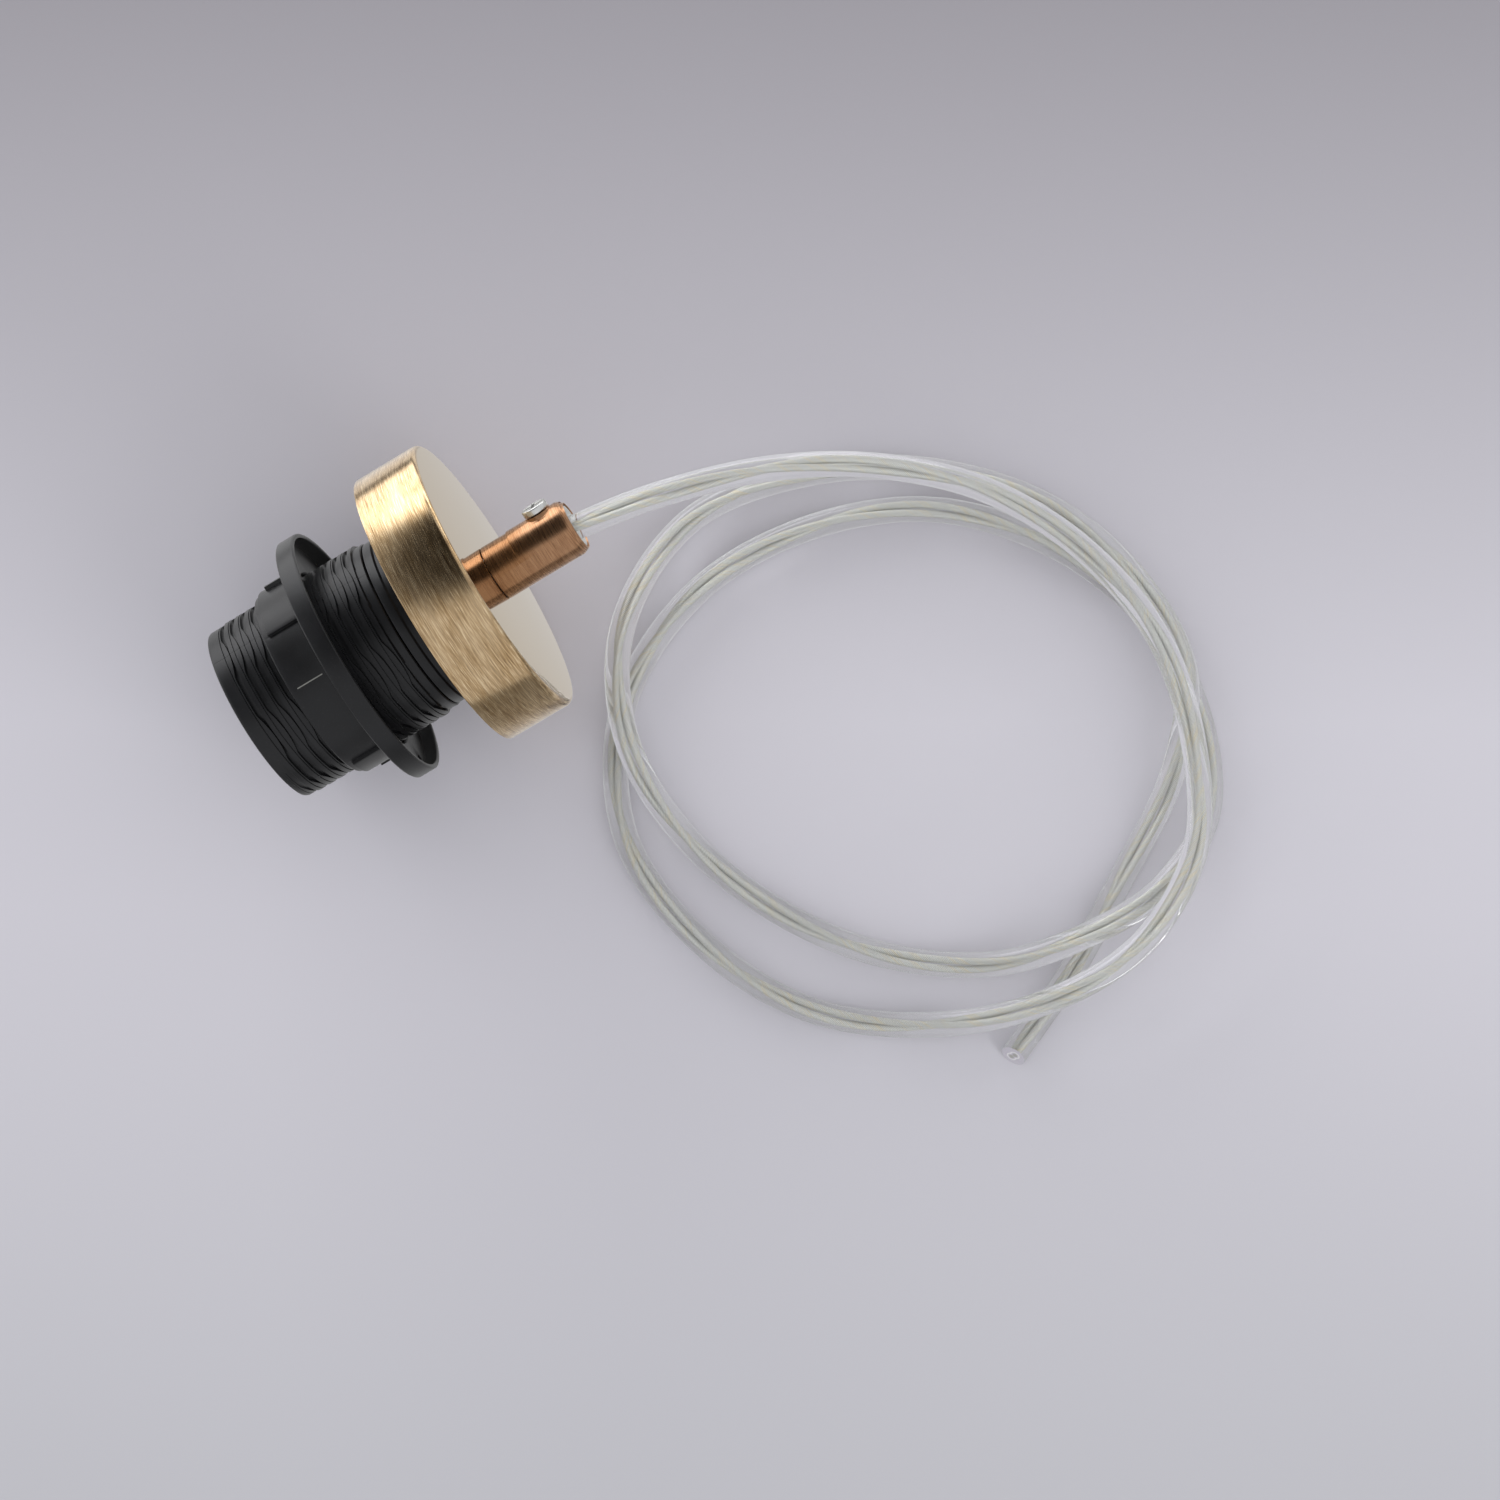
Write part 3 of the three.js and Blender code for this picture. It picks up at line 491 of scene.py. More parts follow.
def finish_edges(piece, width, segments=2, sharp=30):
    """Corners rounded to width in mm, and the rest shaded smooth."""
    if width:
        apply_modifier(
            piece, "BEVEL", width=width * MM, segments=segments, limit_method="ANGLE",
            angle_limit=math.radians(sharp), harden_normals=False,
        )
    choose(piece)
    bpy.ops.object.shade_smooth_by_angle(angle=math.radians(sharp))


def seat_in_holder(piece, body="holder"):
    """Puts a piece that was modelled along the axis into its place, and lets it ride there."""
    choose(piece)
    piece.matrix_world = HOLDER_PLACE
    bpy.ops.object.transform_apply()
    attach(piece, body)


def continue_edge(piece, at, section):
    """Extrudes the open edge at a place along the axis through the points of a section."""
    choose(piece)
    edge = [v for v in piece.data.vertices if abs(v.co.z - at * MM) < SAME_LEVEL * MM]
    radius = edge[0].co.xy.length / MM
    for item in (*piece.data.polygons, *piece.data.edges, *piece.data.vertices):
        item.select = False
    chosen = {v.index for v in edge}
    for v in edge:
        v.select = True
    for line in piece.data.edges:
        line.select = set(line.vertices) <= chosen
    bpy.ops.object.mode_set(mode="EDIT")
    bpy.ops.mesh.select_mode(type="EDGE")
    for next_radius, along in section:
        bpy.ops.mesh.extrude_edges_move(
            TRANSFORM_OT_translate={"value": (0, 0, (along - at) * MM)})
        share = next_radius / radius
        bpy.ops.transform.resize(value=(share, share, 1), center_override=(0, 0, 0))
        radius, at = next_radius, along
    bpy.ops.object.mode_set(mode="OBJECT")


def clamped(low, value, high):
    return max(low, min(value, high))


def held(low, value, high):
    """Between two places in mm, and exactly on one that it is beyond or almost on."""
    value = low if value < low + HOLD_WITHIN else value
    return high if value > high - HOLD_WITHIN else value


# The thread is screwed longer than the barrel, and then held between its ends.
thread_start = CREST_AT_TOP - CREST_END / 2 - TURNS_BEFORE * PITCH
outer_turns = math.ceil((BARREL_END - thread_start) / PITCH) + 1
barrel = turned(
    "barrel_moulding", [(radius, thread_start + along) for along, radius in THREAD_SECTION],
    rise=PITCH, turns=outer_turns,
)
run_in_start = 360 + RUN_IN_TURN


def groove_share(turned_by):
    """How deep the groove is, from 0 to 1, where it runs in at the open end."""
    return clamped(0, (turned_by - run_in_start) / RUN_IN_LENGTH, 1)


for vertex in barrel.data.vertices:
    turn = math.degrees(math.atan2(vertex.co.y, vertex.co.x)) % 360
    if turn > 360 - SAME_TURN:
        turn = 0
    along = vertex.co.z / MM
    radius = vertex.co.xy.length / MM
    past_start = along - thread_start - PITCH * turn / 360
    thread_turn = math.floor(past_start / PITCH + ROUNDING_ERROR)
    in_pitch = past_start - thread_turn * PITCH
    turned_by = 360 * thread_turn + turn
    depth = (CREST - radius) * groove_share(turned_by)
    below, above = groove_share(turned_by - 360), groove_share(turned_by)
    share = clamped(0, (in_pitch - CREST_END) / (PITCH - CREST_END), 1)
    crest = SKIRT + (CREST - SKIRT) * (below + (above - below) * share)
    from_lens = (180 - turn - LENS_MIDDLE + LENS_SPACING / 2) % LENS_SPACING - LENS_SPACING / 2
    lens = max(0, 1 - (from_lens / LENS_HALF) ** 2) * groove_share(turned_by)
    if LEDGE_END - ROUNDING_ERROR <= in_pitch <= GROOVE_END:
        along += LENS_WIDTH * lens * (GROOVE_END - in_pitch) / (GROOVE_END - LEDGE_END)
    new_radius = crest - depth
    if abs(along - THREAD_END) < THREAD_END_REACH:
        along = THREAD_END
    if along > THREAD_END:
        new_radius = BAND
    along = held(LIP, along, BAND_END)
    vertex.co.xy *= new_radius / radius
    vertex.co.z = along * MM
mend(barrel)

lamp_section = []
for row in range(LAMP_ROWS + 1):
    height = math.sin(math.pi * row / LAMP_ROWS) ** 2
    lamp_section.append((LAMP_ROOT - LAMP_DEPTH * height, LAMP_PITCH * row / LAMP_ROWS))
lamp_start = LAMP_THREAD_FROM - TURNS_BEFORE * LAMP_PITCH
lamp_turns = math.ceil((LAMP_THREAD_TO - lamp_start) / LAMP_PITCH) + 1
lamp_thread = turned(
    "lamp_thread", [(radius, lamp_start + along) for radius, along in lamp_section],
    rise=LAMP_PITCH, turns=lamp_turns,
)
for vertex in lamp_thread.data.vertices:
    along = held(LAMP_THREAD_FROM, vertex.co.z / MM, LAMP_THREAD_TO)
    radius = vertex.co.xy.length / MM
    ramp = min(along - LAMP_THREAD_FROM, LAMP_THREAD_TO - along) / LAMP_RAMP
    new_radius = LAMP_ROOT - (LAMP_ROOT - radius) * clamped(0, ramp, 1)
    vertex.co.xy *= new_radius / radius
    vertex.co.z = along * MM
mend(lamp_thread)

continue_edge(barrel, LIP, MOUTH_SECTION)
continue_edge(lamp_thread, LAMP_THREAD_TO, TUBE_SECTION)
choose(barrel)
lamp_thread.select_set(True)
bpy.ops.object.join()
mend(barrel)
finish_edges(barrel, width=0, sharp=28)
seat_in_holder(barrel)
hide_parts("barrel")


def in_holder(finish):
    """Places along the holder's own axes: the third is the distance from the open end."""
    mapping = finish.node("Mapping", {
        "Vector": finish.object_place(), "Location": OPEN_END, "Rotation": HOLDER_TURN,
    }, vector_type="TEXTURE")
    return finish.node("SeparateXYZ", {0: mapping.outputs[0]})


CLOUD_SCALE = 140
GRAIN_SCALE = 3600
GRAIN_DEPTH = 0.00003
PLASTIC_DARK = (0.007, 0.007, 0.0075, 1)
PLASTIC_PALER = (0.011, 0.011, 0.012, 1)
PLASTIC_SPECK = (0.035, 0.035, 0.037, 1)
SEAM_HALF = 0.00016
SEAM_CORE = 0.00007


def black_plastic(name, seam_turn, seam_tone, seam_from, seam_to):
    """Matt black moulded plastic with a fine grain, and a thin mould seam along the piece."""
    finish = Finish(name, Specular_IOR_Level=0.3)
    place = finish.object_place()
    cloud = finish.spread(finish.noise(place, CLOUD_SCALE, detail=4), 0.3, 0.7)
    grain = finish.noise(place, GRAIN_SCALE, detail=2, roughness=0.6)
    tone = finish.blend(cloud, PLASTIC_DARK, PLASTIC_PALER)
    speck = finish.spread(grain, 0.62, 0.78, to_high=0.6)
    tone = finish.blend(speck, tone, PLASTIC_SPECK)
    local = in_holder(finish)
    turn = math.radians(180 - seam_turn)
    across = finish.maths(
        "ADD", finish.maths("MULTIPLY", local.outputs[0], -math.sin(turn)),
        finish.maths("MULTIPLY", local.outputs[1], math.cos(turn)))
    seam = finish.spread(finish.maths("ABSOLUTE", across), SEAM_HALF, SEAM_CORE)
    upper = finish.maths("GREATER_THAN", finish.maths(
        "ADD", finish.maths("MULTIPLY", local.outputs[0], math.cos(turn)),
        finish.maths("MULTIPLY", local.outputs[1], math.sin(turn))), 0)
    inside = finish.maths("COMPARE", local.outputs[2], (seam_from + seam_to) / 2 * MM,
                          (seam_to - seam_from) / 2 * MM)
    seam = finish.maths("MULTIPLY", seam, finish.maths("MULTIPLY", upper, inside))
    finish.feed(finish.shader.inputs["Base Color"], finish.blend(seam, tone, seam_tone))
    finish.feed(finish.shader.inputs["Roughness"],
                finish.spread(cloud, 0, 1, to_low=0.32, to_high=0.40))
    finish.bump(finish.maths("SUBTRACT", grain, seam), GRAIN_DEPTH, strength=0.6)
    return finish


# The barrel's seam tone is darker than the plastic: painted shade of the small step along the real
# seam, which the bump also carves.
barrel_plastic = black_plastic(
    "barrel_plastic", seam_turn=40, seam_tone=(0.002, 0.002, 0.002, 1), seam_from=0,
    seam_to=BARREL_END,
)
barrel_plastic.use(barrel, "black_plastic")

# Shade ring
# One black moulding that screws on the barrel: a sleeve with two thicker pads to grip it by,
# each with a rib, and a dished flange with a raised rim that a lampshade rests on.
RING_TURN = 1
RING_SECTION = [
    (20.15, 12.4), (20.6, 12.4), (20.9, 12.7), (20.9, 13.8), (20.9, 22.3), (27.9, 22.3),
    (28.2, 22.6), (28.2, 26.2), (27.9, 26.5), (27.35, 26.5), (27.15, 26.3), (27.15, 23.5),
    (20.65, 23.5), (20.15, 23.0), (20.15, 12.4),
]
PAD_MIDDLE = 75
PAD_HALF = 41.8
PAD_STEPS = 44
PAD_RADIUS = 21.6
PAD_SECTION = [(20.5, 13.8), (PAD_RADIUS, 13.8), (PAD_RADIUS, 22.8), (20.5, 22.8)]
RIB_SIZE = (1.4, 1.0, 6.8)
RIB_RADIUS = 22.5
RIB_START = 15.8
SLOT_MIDDLE = 77
SLOT_SIZE = (1.2, 2.0, 6)
SLOT_RADIUS = 25.2
SLOT_LEVEL = 22.5


def swept(name, section, seen_turn, half, steps):
    """A section swept about the axis by half to each side of a turn as seen from above."""
    piece = half_section(name, section)
    choose(piece)
    bpy.ops.object.mode_set(mode="EDIT")
    bpy.ops.mesh.select_all(action="SELECT")
    bpy.ops.mesh.edge_face_add()
    bpy.ops.mesh.spin(
        steps=steps, angle=2 * math.radians(half), center=(0, 0, 0), axis=(0, 0, 1))
    bpy.ops.object.mode_set(mode="OBJECT")
    middle = math.atan2(sum(v.co.y for v in piece.data.vertices),
                        sum(v.co.x for v in piece.data.vertices))
    piece.rotation_euler.z = math.radians(180 - seen_turn) - middle
    bpy.ops.object.transform_apply()
    mend(piece)
    return piece


def block_at(name, size, radius, along, seen_turn):
    """A block, size in mm, at a radius and place along the axis, turned as seen from above."""
    bpy.ops.mesh.primitive_cube_add(size=MM)
    piece = bpy.context.object
    piece.name = name
    piece.scale = size
    turn = math.radians(180 - seen_turn)
    piece.rotation_euler.z = turn
    piece.location = Vector((math.cos(turn) * radius, math.sin(turn) * radius, along)) * MM
    bpy.ops.object.transform_apply()
    return piece


def rod_at(name, radius, inner, outer, along, seen_turn, sides=48):
    """A rod that points away from the axis, from inner to outer, all in mm."""
    turn = math.radians(180 - seen_turn)
    middle = (inner + outer) / 2
    bpy.ops.mesh.primitive_cylinder_add(
        vertices=sides, radius=radius * MM, depth=(outer - inner) * MM,
        location=Vector((math.cos(turn) * middle, math.sin(turn) * middle, along)) * MM,
        rotation=(0, math.pi / 2, turn),
    )
    piece = bpy.context.object
    piece.name = name
    bpy.ops.object.transform_apply()
    return piece


def combine(piece, tool, operation):
    apply_modifier(piece, "BOOLEAN", operation=operation, object=tool, solver="EXACT")
    bpy.data.objects.remove(tool)


ring = turned("shade_ring_moulding", RING_SECTION)
choose(ring)
ring.rotation_euler.z = math.radians(RING_TURN)
bpy.ops.object.transform_apply()
for side in (0, 180):
    combine(ring, swept("pad", PAD_SECTION, PAD_MIDDLE + side, PAD_HALF, PAD_STEPS), "UNION")
    rib = block_at("rib", RIB_SIZE, RIB_RADIUS - RIB_SIZE[0] / 2,
                   RIB_START + RIB_SIZE[2] / 2, PAD_MIDDLE + side)
    combine(ring, rib, "UNION")
    slot = block_at("slot", SLOT_SIZE, SLOT_RADIUS, SLOT_LEVEL, SLOT_MIDDLE + side)
    combine(ring, slot, "DIFFERENCE")
finish_edges(ring, width=0.12, sharp=35)
seat_in_holder(ring, "ring")
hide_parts("shade_ring")
ring_plastic = black_plastic(
    "ring_plastic", seam_turn=-2, seam_tone=(0.22, 0.22, 0.2, 1), seam_from=14.2, seam_to=20.2)
ring_plastic.use(ring, "black_plastic")

# Cap
# The upper half of the holder, of the same black plastic, screwed into the barrel. Most of
# it is under the cup; its rim shows between the barrel and the cup.
CAP_SIDES = 128
CAP_STRAIGHT_END = 44.5
CAP_TOP = 56.75
CAP_BODY = 18.6
CROWN = 9.5
VAULT = 8.2
VAULT_TOP = 52.0
CAP_INSIDE = 14.9
CAP_NECK = 16.7
CAP_FOOT = 33.0
CAP_RIM = 19.0
RIM_FROM = 37.6
TUBE_BORE = 5.15
TUBE_BORE_FROM = 50.5
DOME_STEPS = 16
GRUB_LEVEL = 54.05
GRUB_HOLE = 1.75
GRUB_REACH = (4.15, 19.5)
GRUB_TURN = 180

dome, vault = [], []
for step in range(DOME_STEPS + 1):
    angle = math.pi / 2 * step / DOME_STEPS
    dome.append((CROWN + (CAP_BODY - CROWN) * math.cos(angle),
                 CAP_STRAIGHT_END + (CAP_TOP - CAP_STRAIGHT_END) * math.sin(angle)))
    vault.insert(0, (VAULT + (CAP_INSIDE - VAULT) * math.cos(angle),
                     CAP_STRAIGHT_END + (VAULT_TOP - CAP_STRAIGHT_END) * math.sin(angle)))
cap = turned("cap_moulding", [
    (CAP_NECK, CAP_FOOT), (CAP_NECK, RIM_FROM), (CAP_RIM, RIM_FROM), (CAP_RIM, 39.4),
    (CAP_BODY, 39.8), *dome, (TUBE_BORE, CAP_TOP), (TUBE_BORE, TUBE_BORE_FROM),
    (VAULT, TUBE_BORE_FROM), *vault, (CAP_INSIDE, CAP_FOOT), (CAP_NECK, CAP_FOOT),
], CAP_SIDES)
combine(cap, rod_at("grub_hole", GRUB_HOLE, *GRUB_REACH, GRUB_LEVEL, GRUB_TURN), "DIFFERENCE")
finish_edges(cap, width=0.15, sharp=35)
seat_in_holder(cap)
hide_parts("cap")
barrel_plastic.use(cap, "black_plastic")

# Brass cup
# Drawn from brass sheet, brushed round and round, then aged brown and lacquered. It hides
# the cap, and the cord grip stands on its flat face.
CUP_SIDES = 256
CUP_RADIUS = 31
CUP_WALL = 0.8
CUP_EDGE = 43.2
CUP_TOP = 57.85
CUP_ROUNDING = 1.2
CUP_LIP = 30.35
ROUNDING_STEPS = 8


def quarter(radius, along, rounding, inside=False):
    """The points of a rounded corner whose outer corner is at radius and along."""
    angles = [math.pi / 2 * step / ROUNDING_STEPS for step in range(ROUNDING_STEPS + 1)]
    points = [(radius - rounding * (1 - math.cos(a)), along - rounding * (1 - math.sin(a)))
              for a in angles]
    return points[::-1] if inside else points


inner_radius, inner_top = CUP_RADIUS - CUP_WALL, CUP_TOP - CUP_WALL
cup = turned("cup_shell", [
    (CUP_LIP, CUP_EDGE), (30.75, CUP_EDGE), (30.93, CUP_EDGE + 0.07),
    (CUP_RADIUS, CUP_EDGE + 0.3), *quarter(CUP_RADIUS, CUP_TOP, CUP_ROUNDING),
    (TUBE_BORE, CUP_TOP), (TUBE_BORE, inner_top),
    *quarter(inner_radius, inner_top, CUP_ROUNDING - CUP_WALL, inside=True),
    (inner_radius, CUP_EDGE + 0.15), (CUP_LIP, CUP_EDGE),
], CUP_SIDES)
finish_edges(cup, width=0, sharp=35)
seat_in_holder(cup)
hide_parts("brass_cup")


# Each layer of brush marks: how many lie in a metre, and the share of the dashes round the axis.
BRUSH_LAYERS = ((11000, 1.3), (5600, 0.8), (300, 0.3))
BRUSH_DEPTH = 0.00001
DARK_TO_MIDDLE = (0.36, 0.52)
MIDDLE_TO_LIGHT = (0.51, 0.66)
WIDE_MARKS = (0.35, 0.7)
WIDE_SHARE = 0.35
FACE_NORMALS = (0.93, 0.995)


def brushed_metal(name, tones, roughness, dash, face_tone, face_roughness):
    """Metal brushed round the holder's axis, in dashes of a dark, a middle and a light tone.
    Its flat face is plain. dash is how many dashes follow each other in a radian."""
    dark, middle, light = tones
    finish = Finish(name, Metallic=1.0, Anisotropic=0.8, Anisotropic_Rotation=0.25)
    local = in_holder(finish)
    flat = finish.node("CombineXYZ", {0: local.outputs[0], 1: local.outputs[1]})
    radius = finish.node("VectorMath", {0: flat.outputs[0]}, operation="LENGTH").outputs["Value"]
    around = finish.node("VectorMath", {0: flat.outputs[0]}, operation="NORMALIZE").outputs[0]
    around = finish.node("SeparateXYZ", {0: around})
    walk = finish.maths("ADD", radius, local.outputs[2])
    layers = []
    for along, share in BRUSH_LAYERS:
        place = finish.node("CombineXYZ", {
            0: finish.maths("MULTIPLY", walk, along),
            1: finish.maths("MULTIPLY", around.outputs[0], dash * share),
            2: finish.maths("MULTIPLY", around.outputs[1], dash * share),
        })
        layers.append(finish.noise(place.outputs[0], 1.0, detail=3, roughness=0.6))
    fine = finish.maths("ADD", finish.maths("MULTIPLY", layers[0], 0.5),
                        finish.maths("MULTIPLY", layers[1], 0.5))
    axis_share = finish.node("VectorMath", {
        0: finish.node("NewGeometry").outputs["Normal"], 1: AXIS,
    }, operation="DOT_PRODUCT").outputs["Value"]
    on_face = finish.spread(axis_share, *FACE_NORMALS)
    tone = finish.blend(finish.spread(fine, *DARK_TO_MIDDLE), dark, middle)
    tone = finish.blend(finish.spread(fine, *MIDDLE_TO_LIGHT), tone, light)
    wide = finish.spread(layers[2], *WIDE_MARKS)
    tone = finish.blend(finish.maths("MULTIPLY", wide, WIDE_SHARE), tone, light)
    tone = finish.blend(on_face, tone, face_tone)
    finish.feed(finish.shader.inputs["Base Color"], tone)
    rough = finish.spread(fine, 0.3, 0.7, roughness - 0.05, roughness + 0.07)
    off_face = finish.maths("SUBTRACT", 1, on_face)
    finish.feed(finish.shader.inputs["Roughness"], finish.maths(
        "ADD", finish.maths("MULTIPLY", rough, off_face),
        finish.maths("MULTIPLY", on_face, face_roughness)))
    from_end = finish.node("VectorMath", {0: finish.object_place(), 1: OPEN_END},
                           operation="SUBTRACT").outputs[0]
    tangent = finish.node("VectorMath", {0: AXIS, 1: from_end}, operation="CROSS_PRODUCT")
    tangent = finish.node("VectorMath", {0: tangent.outputs[0]}, operation="NORMALIZE")
    finish.feed(finish.shader.inputs["Tangent"], tangent.outputs[0])
    finish.bump(finish.maths("MULTIPLY", fine, off_face), BRUSH_DEPTH, strength=0.35)
    return finish


BRASS_TONES = ((0.17, 0.095, 0.042, 1), (0.46, 0.305, 0.150, 1), (0.84, 0.67, 0.44, 1))
BRASS_FACE = (0.66, 0.54, 0.38, 1)
aged_brass = brushed_metal(
    "aged_brass", BRASS_TONES, roughness=0.20, dash=7, face_tone=BRASS_FACE, face_roughness=0.04)
aged_brass.use(cup, "aged_brass")

# Cord grip
# A brown copper tube, turned and brushed, that screws on the threaded tube over the cup. A
# low boss on its side carries the screw that clamps the flex, and its mouth is chamfered.
GRIP_SIDES = 96
GRIP_RADIUS = 6
GRIP_BASE = 57.95
GRIP_TOP = 77.45
MOUTH_CHAMFER = [(GRIP_RADIUS, GRIP_TOP - 1.4), (5.34, GRIP_TOP)]
THICK_FROM = 64.2
THICK_INNER = 5.6
THICK_SHIFT = 0.28
SCREW_PLACE = 72.0
SCREW_TURN = 75
SCREW_HOLE = 1.75
HOLE_REACH = (0, 8)
BOSS_RADIUS = 2.9
BOSS_REACH = (5.4, 6.45)

grip = turned("grip_tube", [
    (TUBE_BORE, GRIP_BASE), (5.88, GRIP_BASE), (GRIP_RADIUS, GRIP_BASE + 0.12),
    *MOUTH_CHAMFER, (TUBE_BORE, GRIP_TOP), (TUBE_BORE, GRIP_BASE),
], GRIP_SIDES)
thick_side = turned("thick_side", [
    (THICK_INNER, THICK_FROM), (5.9, THICK_FROM), (GRIP_RADIUS, THICK_FROM + 0.25),
    (GRIP_RADIUS, GRIP_TOP - 1.45), (THICK_INNER, GRIP_TOP - 0.55), (THICK_INNER, THICK_FROM),
], GRIP_SIDES)
choose(thick_side)
thick_turn = math.radians(180 - SCREW_TURN)
thick_side.location = Vector((math.cos(thick_turn), math.sin(thick_turn), 0)) * THICK_SHIFT * MM
bpy.ops.object.transform_apply()
combine(grip, thick_side, "UNION")
boss = rod_at("boss", BOSS_RADIUS, *BOSS_REACH, SCREW_PLACE, SCREW_TURN)
combine(grip, boss, "UNION")
hole = rod_at("screw_hole", SCREW_HOLE, *HOLE_REACH, SCREW_PLACE, SCREW_TURN)
combine(grip, hole, "DIFFERENCE")
finish_edges(grip, width=0.09, sharp=25)
seat_in_holder(grip)
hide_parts("cord_grip")
COPPER_TONES = ((0.19, 0.092, 0.045, 1), (0.36, 0.19, 0.10, 1), (0.53, 0.315, 0.18, 1))
COPPER_FACE = (0.60, 0.35, 0.19, 1)
brown_copper = brushed_metal(
    "brown_copper", COPPER_TONES, roughness=0.27, dash=1.5, face_tone=COPPER_FACE,
    face_roughness=0.25,
)
brown_copper.use(grip, "brown_copper")

# Liner of the cord grip
# A pale moulded sleeve inside the grip, whose flared end shows as a ring round the flex.
LINER_INNER = 3.1
LINER_OUTER = 4.85
LINER_FOOT = 64.1
MILKY_DARK = (0.62, 0.62, 0.60, 1)
MILKY_LIGHT = (0.72, 0.72, 0.70, 1)

liner = turned("liner_sleeve", [
    (LINER_INNER, LINER_FOOT), (LINER_OUTER, LINER_FOOT), (LINER_OUTER, 77.05), (4.65, 77.25),
    (4.5, 77.2), (LINER_INNER, 74.25), (LINER_INNER, LINER_FOOT),
], GRIP_SIDES)
hole = rod_at("liner_hole", SCREW_HOLE, *HOLE_REACH, SCREW_PLACE, SCREW_TURN)
combine(liner, hole, "DIFFERENCE")
finish_edges(liner, width=0.05, sharp=35)
seat_in_holder(liner)
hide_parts("grip_liner")
pale_plastic = Finish("pale_plastic", Roughness=0.3)
milky = pale_plastic.spread(pale_plastic.noise(pale_plastic.object_place(), 400), 0.3, 0.7)
pale_plastic.feed(
    pale_plastic.shader.inputs["Base Color"], pale_plastic.blend(milky, MILKY_DARK, MILKY_LIGHT))
pale_plastic.use(liner, "pale_plastic")

# Screw of the cord grip
# A nickel-plated pan head with a slot along the grip and a shorter cross slot, so that a
# flat or a cross driver fits. It presses the clamp pad on the flex.
HEAD_RADIUS = 2.8
HEAD_UNDER = 6.6
HEAD_TOP = 8.1
SHANK_RADIUS = 1.45
SHANK_TIP = 4.1
SHANK_IN_HEAD = 0.4
HEAD_ROUNDING = 0.3
DRIVE_DEPTH = 0.7
DRIVE_PROUD = 1
DRIVE_WIDTH = 0.8
DRIVE_LENGTH = 8
CROSS_LENGTH = 3.4
NICKEL_DARK = (0.60, 0.60, 0.58, 1)
NICKEL_LIGHT = (0.74, 0.74, 0.72, 1)

screw = rod_at("grip_screw_head", HEAD_RADIUS, HEAD_UNDER, HEAD_TOP, SCREW_PLACE, SCREW_TURN)
shank = rod_at(
    "shank", SHANK_RADIUS, SHANK_TIP, HEAD_UNDER + SHANK_IN_HEAD, SCREW_PLACE, SCREW_TURN)
combine(screw, shank, "UNION")
apply_modifier(screw, "BEVEL", width=HEAD_ROUNDING * MM, segments=4, limit_method="ANGLE",
               angle_limit=math.radians(60))
drive_height = DRIVE_DEPTH + DRIVE_PROUD
drive_middle = HEAD_TOP + (DRIVE_PROUD - DRIVE_DEPTH) / 2
for across, along in ((DRIVE_WIDTH, DRIVE_LENGTH), (CROSS_LENGTH, DRIVE_WIDTH)):
    drive = block_at("drive", (drive_height, across, along), drive_middle, SCREW_PLACE, SCREW_TURN)
    combine(screw, drive, "DIFFERENCE")
finish_edges(screw, width=0.05, sharp=35)
seat_in_holder(screw)
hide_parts("grip_screw")
nickel = Finish("nickel_plate", Metallic=1.0)
place = nickel.object_place()
nickel.feed(nickel.shader.inputs["Base Color"], nickel.blend(
    nickel.spread(nickel.noise(place, scale=900), 0.35, 0.65), NICKEL_DARK, NICKEL_LIGHT))
nickel.feed(nickel.shader.inputs["Roughness"], nickel.spread(
    nickel.noise(place, scale=2600), 0, 1, to_low=0.16, to_high=0.4))
nickel.bump(nickel.noise(place, scale=5000), distance=0.000008, strength=0.4)
nickel.use(screw, "steel")

# Inner pieces
# A white moulded block carries contacts and terminals of stamped brass, riveted on. The screws
# and the threaded tube are plated steel, and the cores are clear, with crimped tinned ends.

# These pieces keep their solids, whose edges are softened.
INNER_ROUNDING = 0.08
INNER_SHARP = math.radians(35)
WELD_WITHIN = 0.001


def mottled(name, low, high, scale, roughness, grain, **sockets):
    """A material whose colour wanders between two tones, with a fine grain."""
    finish = Finish(name, **sockets)
    where = finish.object_place()
    share = finish.spread(finish.noise(where, scale), 0.32, 0.68)
    finish.feed(finish.shader.inputs["Base Color"], finish.blend(share, low, high))
    finish.feed(finish.shader.inputs["Roughness"], finish.spread(
        share, 0, 1, to_low=roughness - 0.06, to_high=roughness + 0.06))
    finish.bump(finish.noise(where, scale * 6), grain, strength=0.5)
    return finish


white_block = mottled(
    "white_moulding", (0.74, 0.72, 0.67, 1), (0.84, 0.82, 0.77, 1), scale=300, roughness=0.34,
    grain=0.00001)
contact_brass = mottled(
    "stamped_brass", (0.62, 0.46, 0.20, 1), (0.82, 0.66, 0.34, 1), scale=500, roughness=0.32,
    grain=0.00001, Metallic=1.0)
crimped_tin = mottled(
    "crimped_tin", (0.50, 0.49, 0.46, 1), (0.68, 0.67, 0.64, 1), scale=1500, roughness=0.4,
    grain=0.00002, Metallic=1.0)
clear_core = mottled(
    "clear_core", (0.80, 0.80, 0.77, 1), (0.90, 0.90, 0.88, 1), scale=600, roughness=0.2,
    grain=0.000005)
inner_finishes = {
    "contact_block": (white_block, "white_block"),
    "centre_contact": (contact_brass, "contact_brass"),
    "side_contact": (contact_brass, "contact_brass"),
    "locking_screw": (nickel, "steel"),
    "nipple": (nickel, "steel"),
    "clamp_pad": (pale_plastic, "pale_plastic"),
}
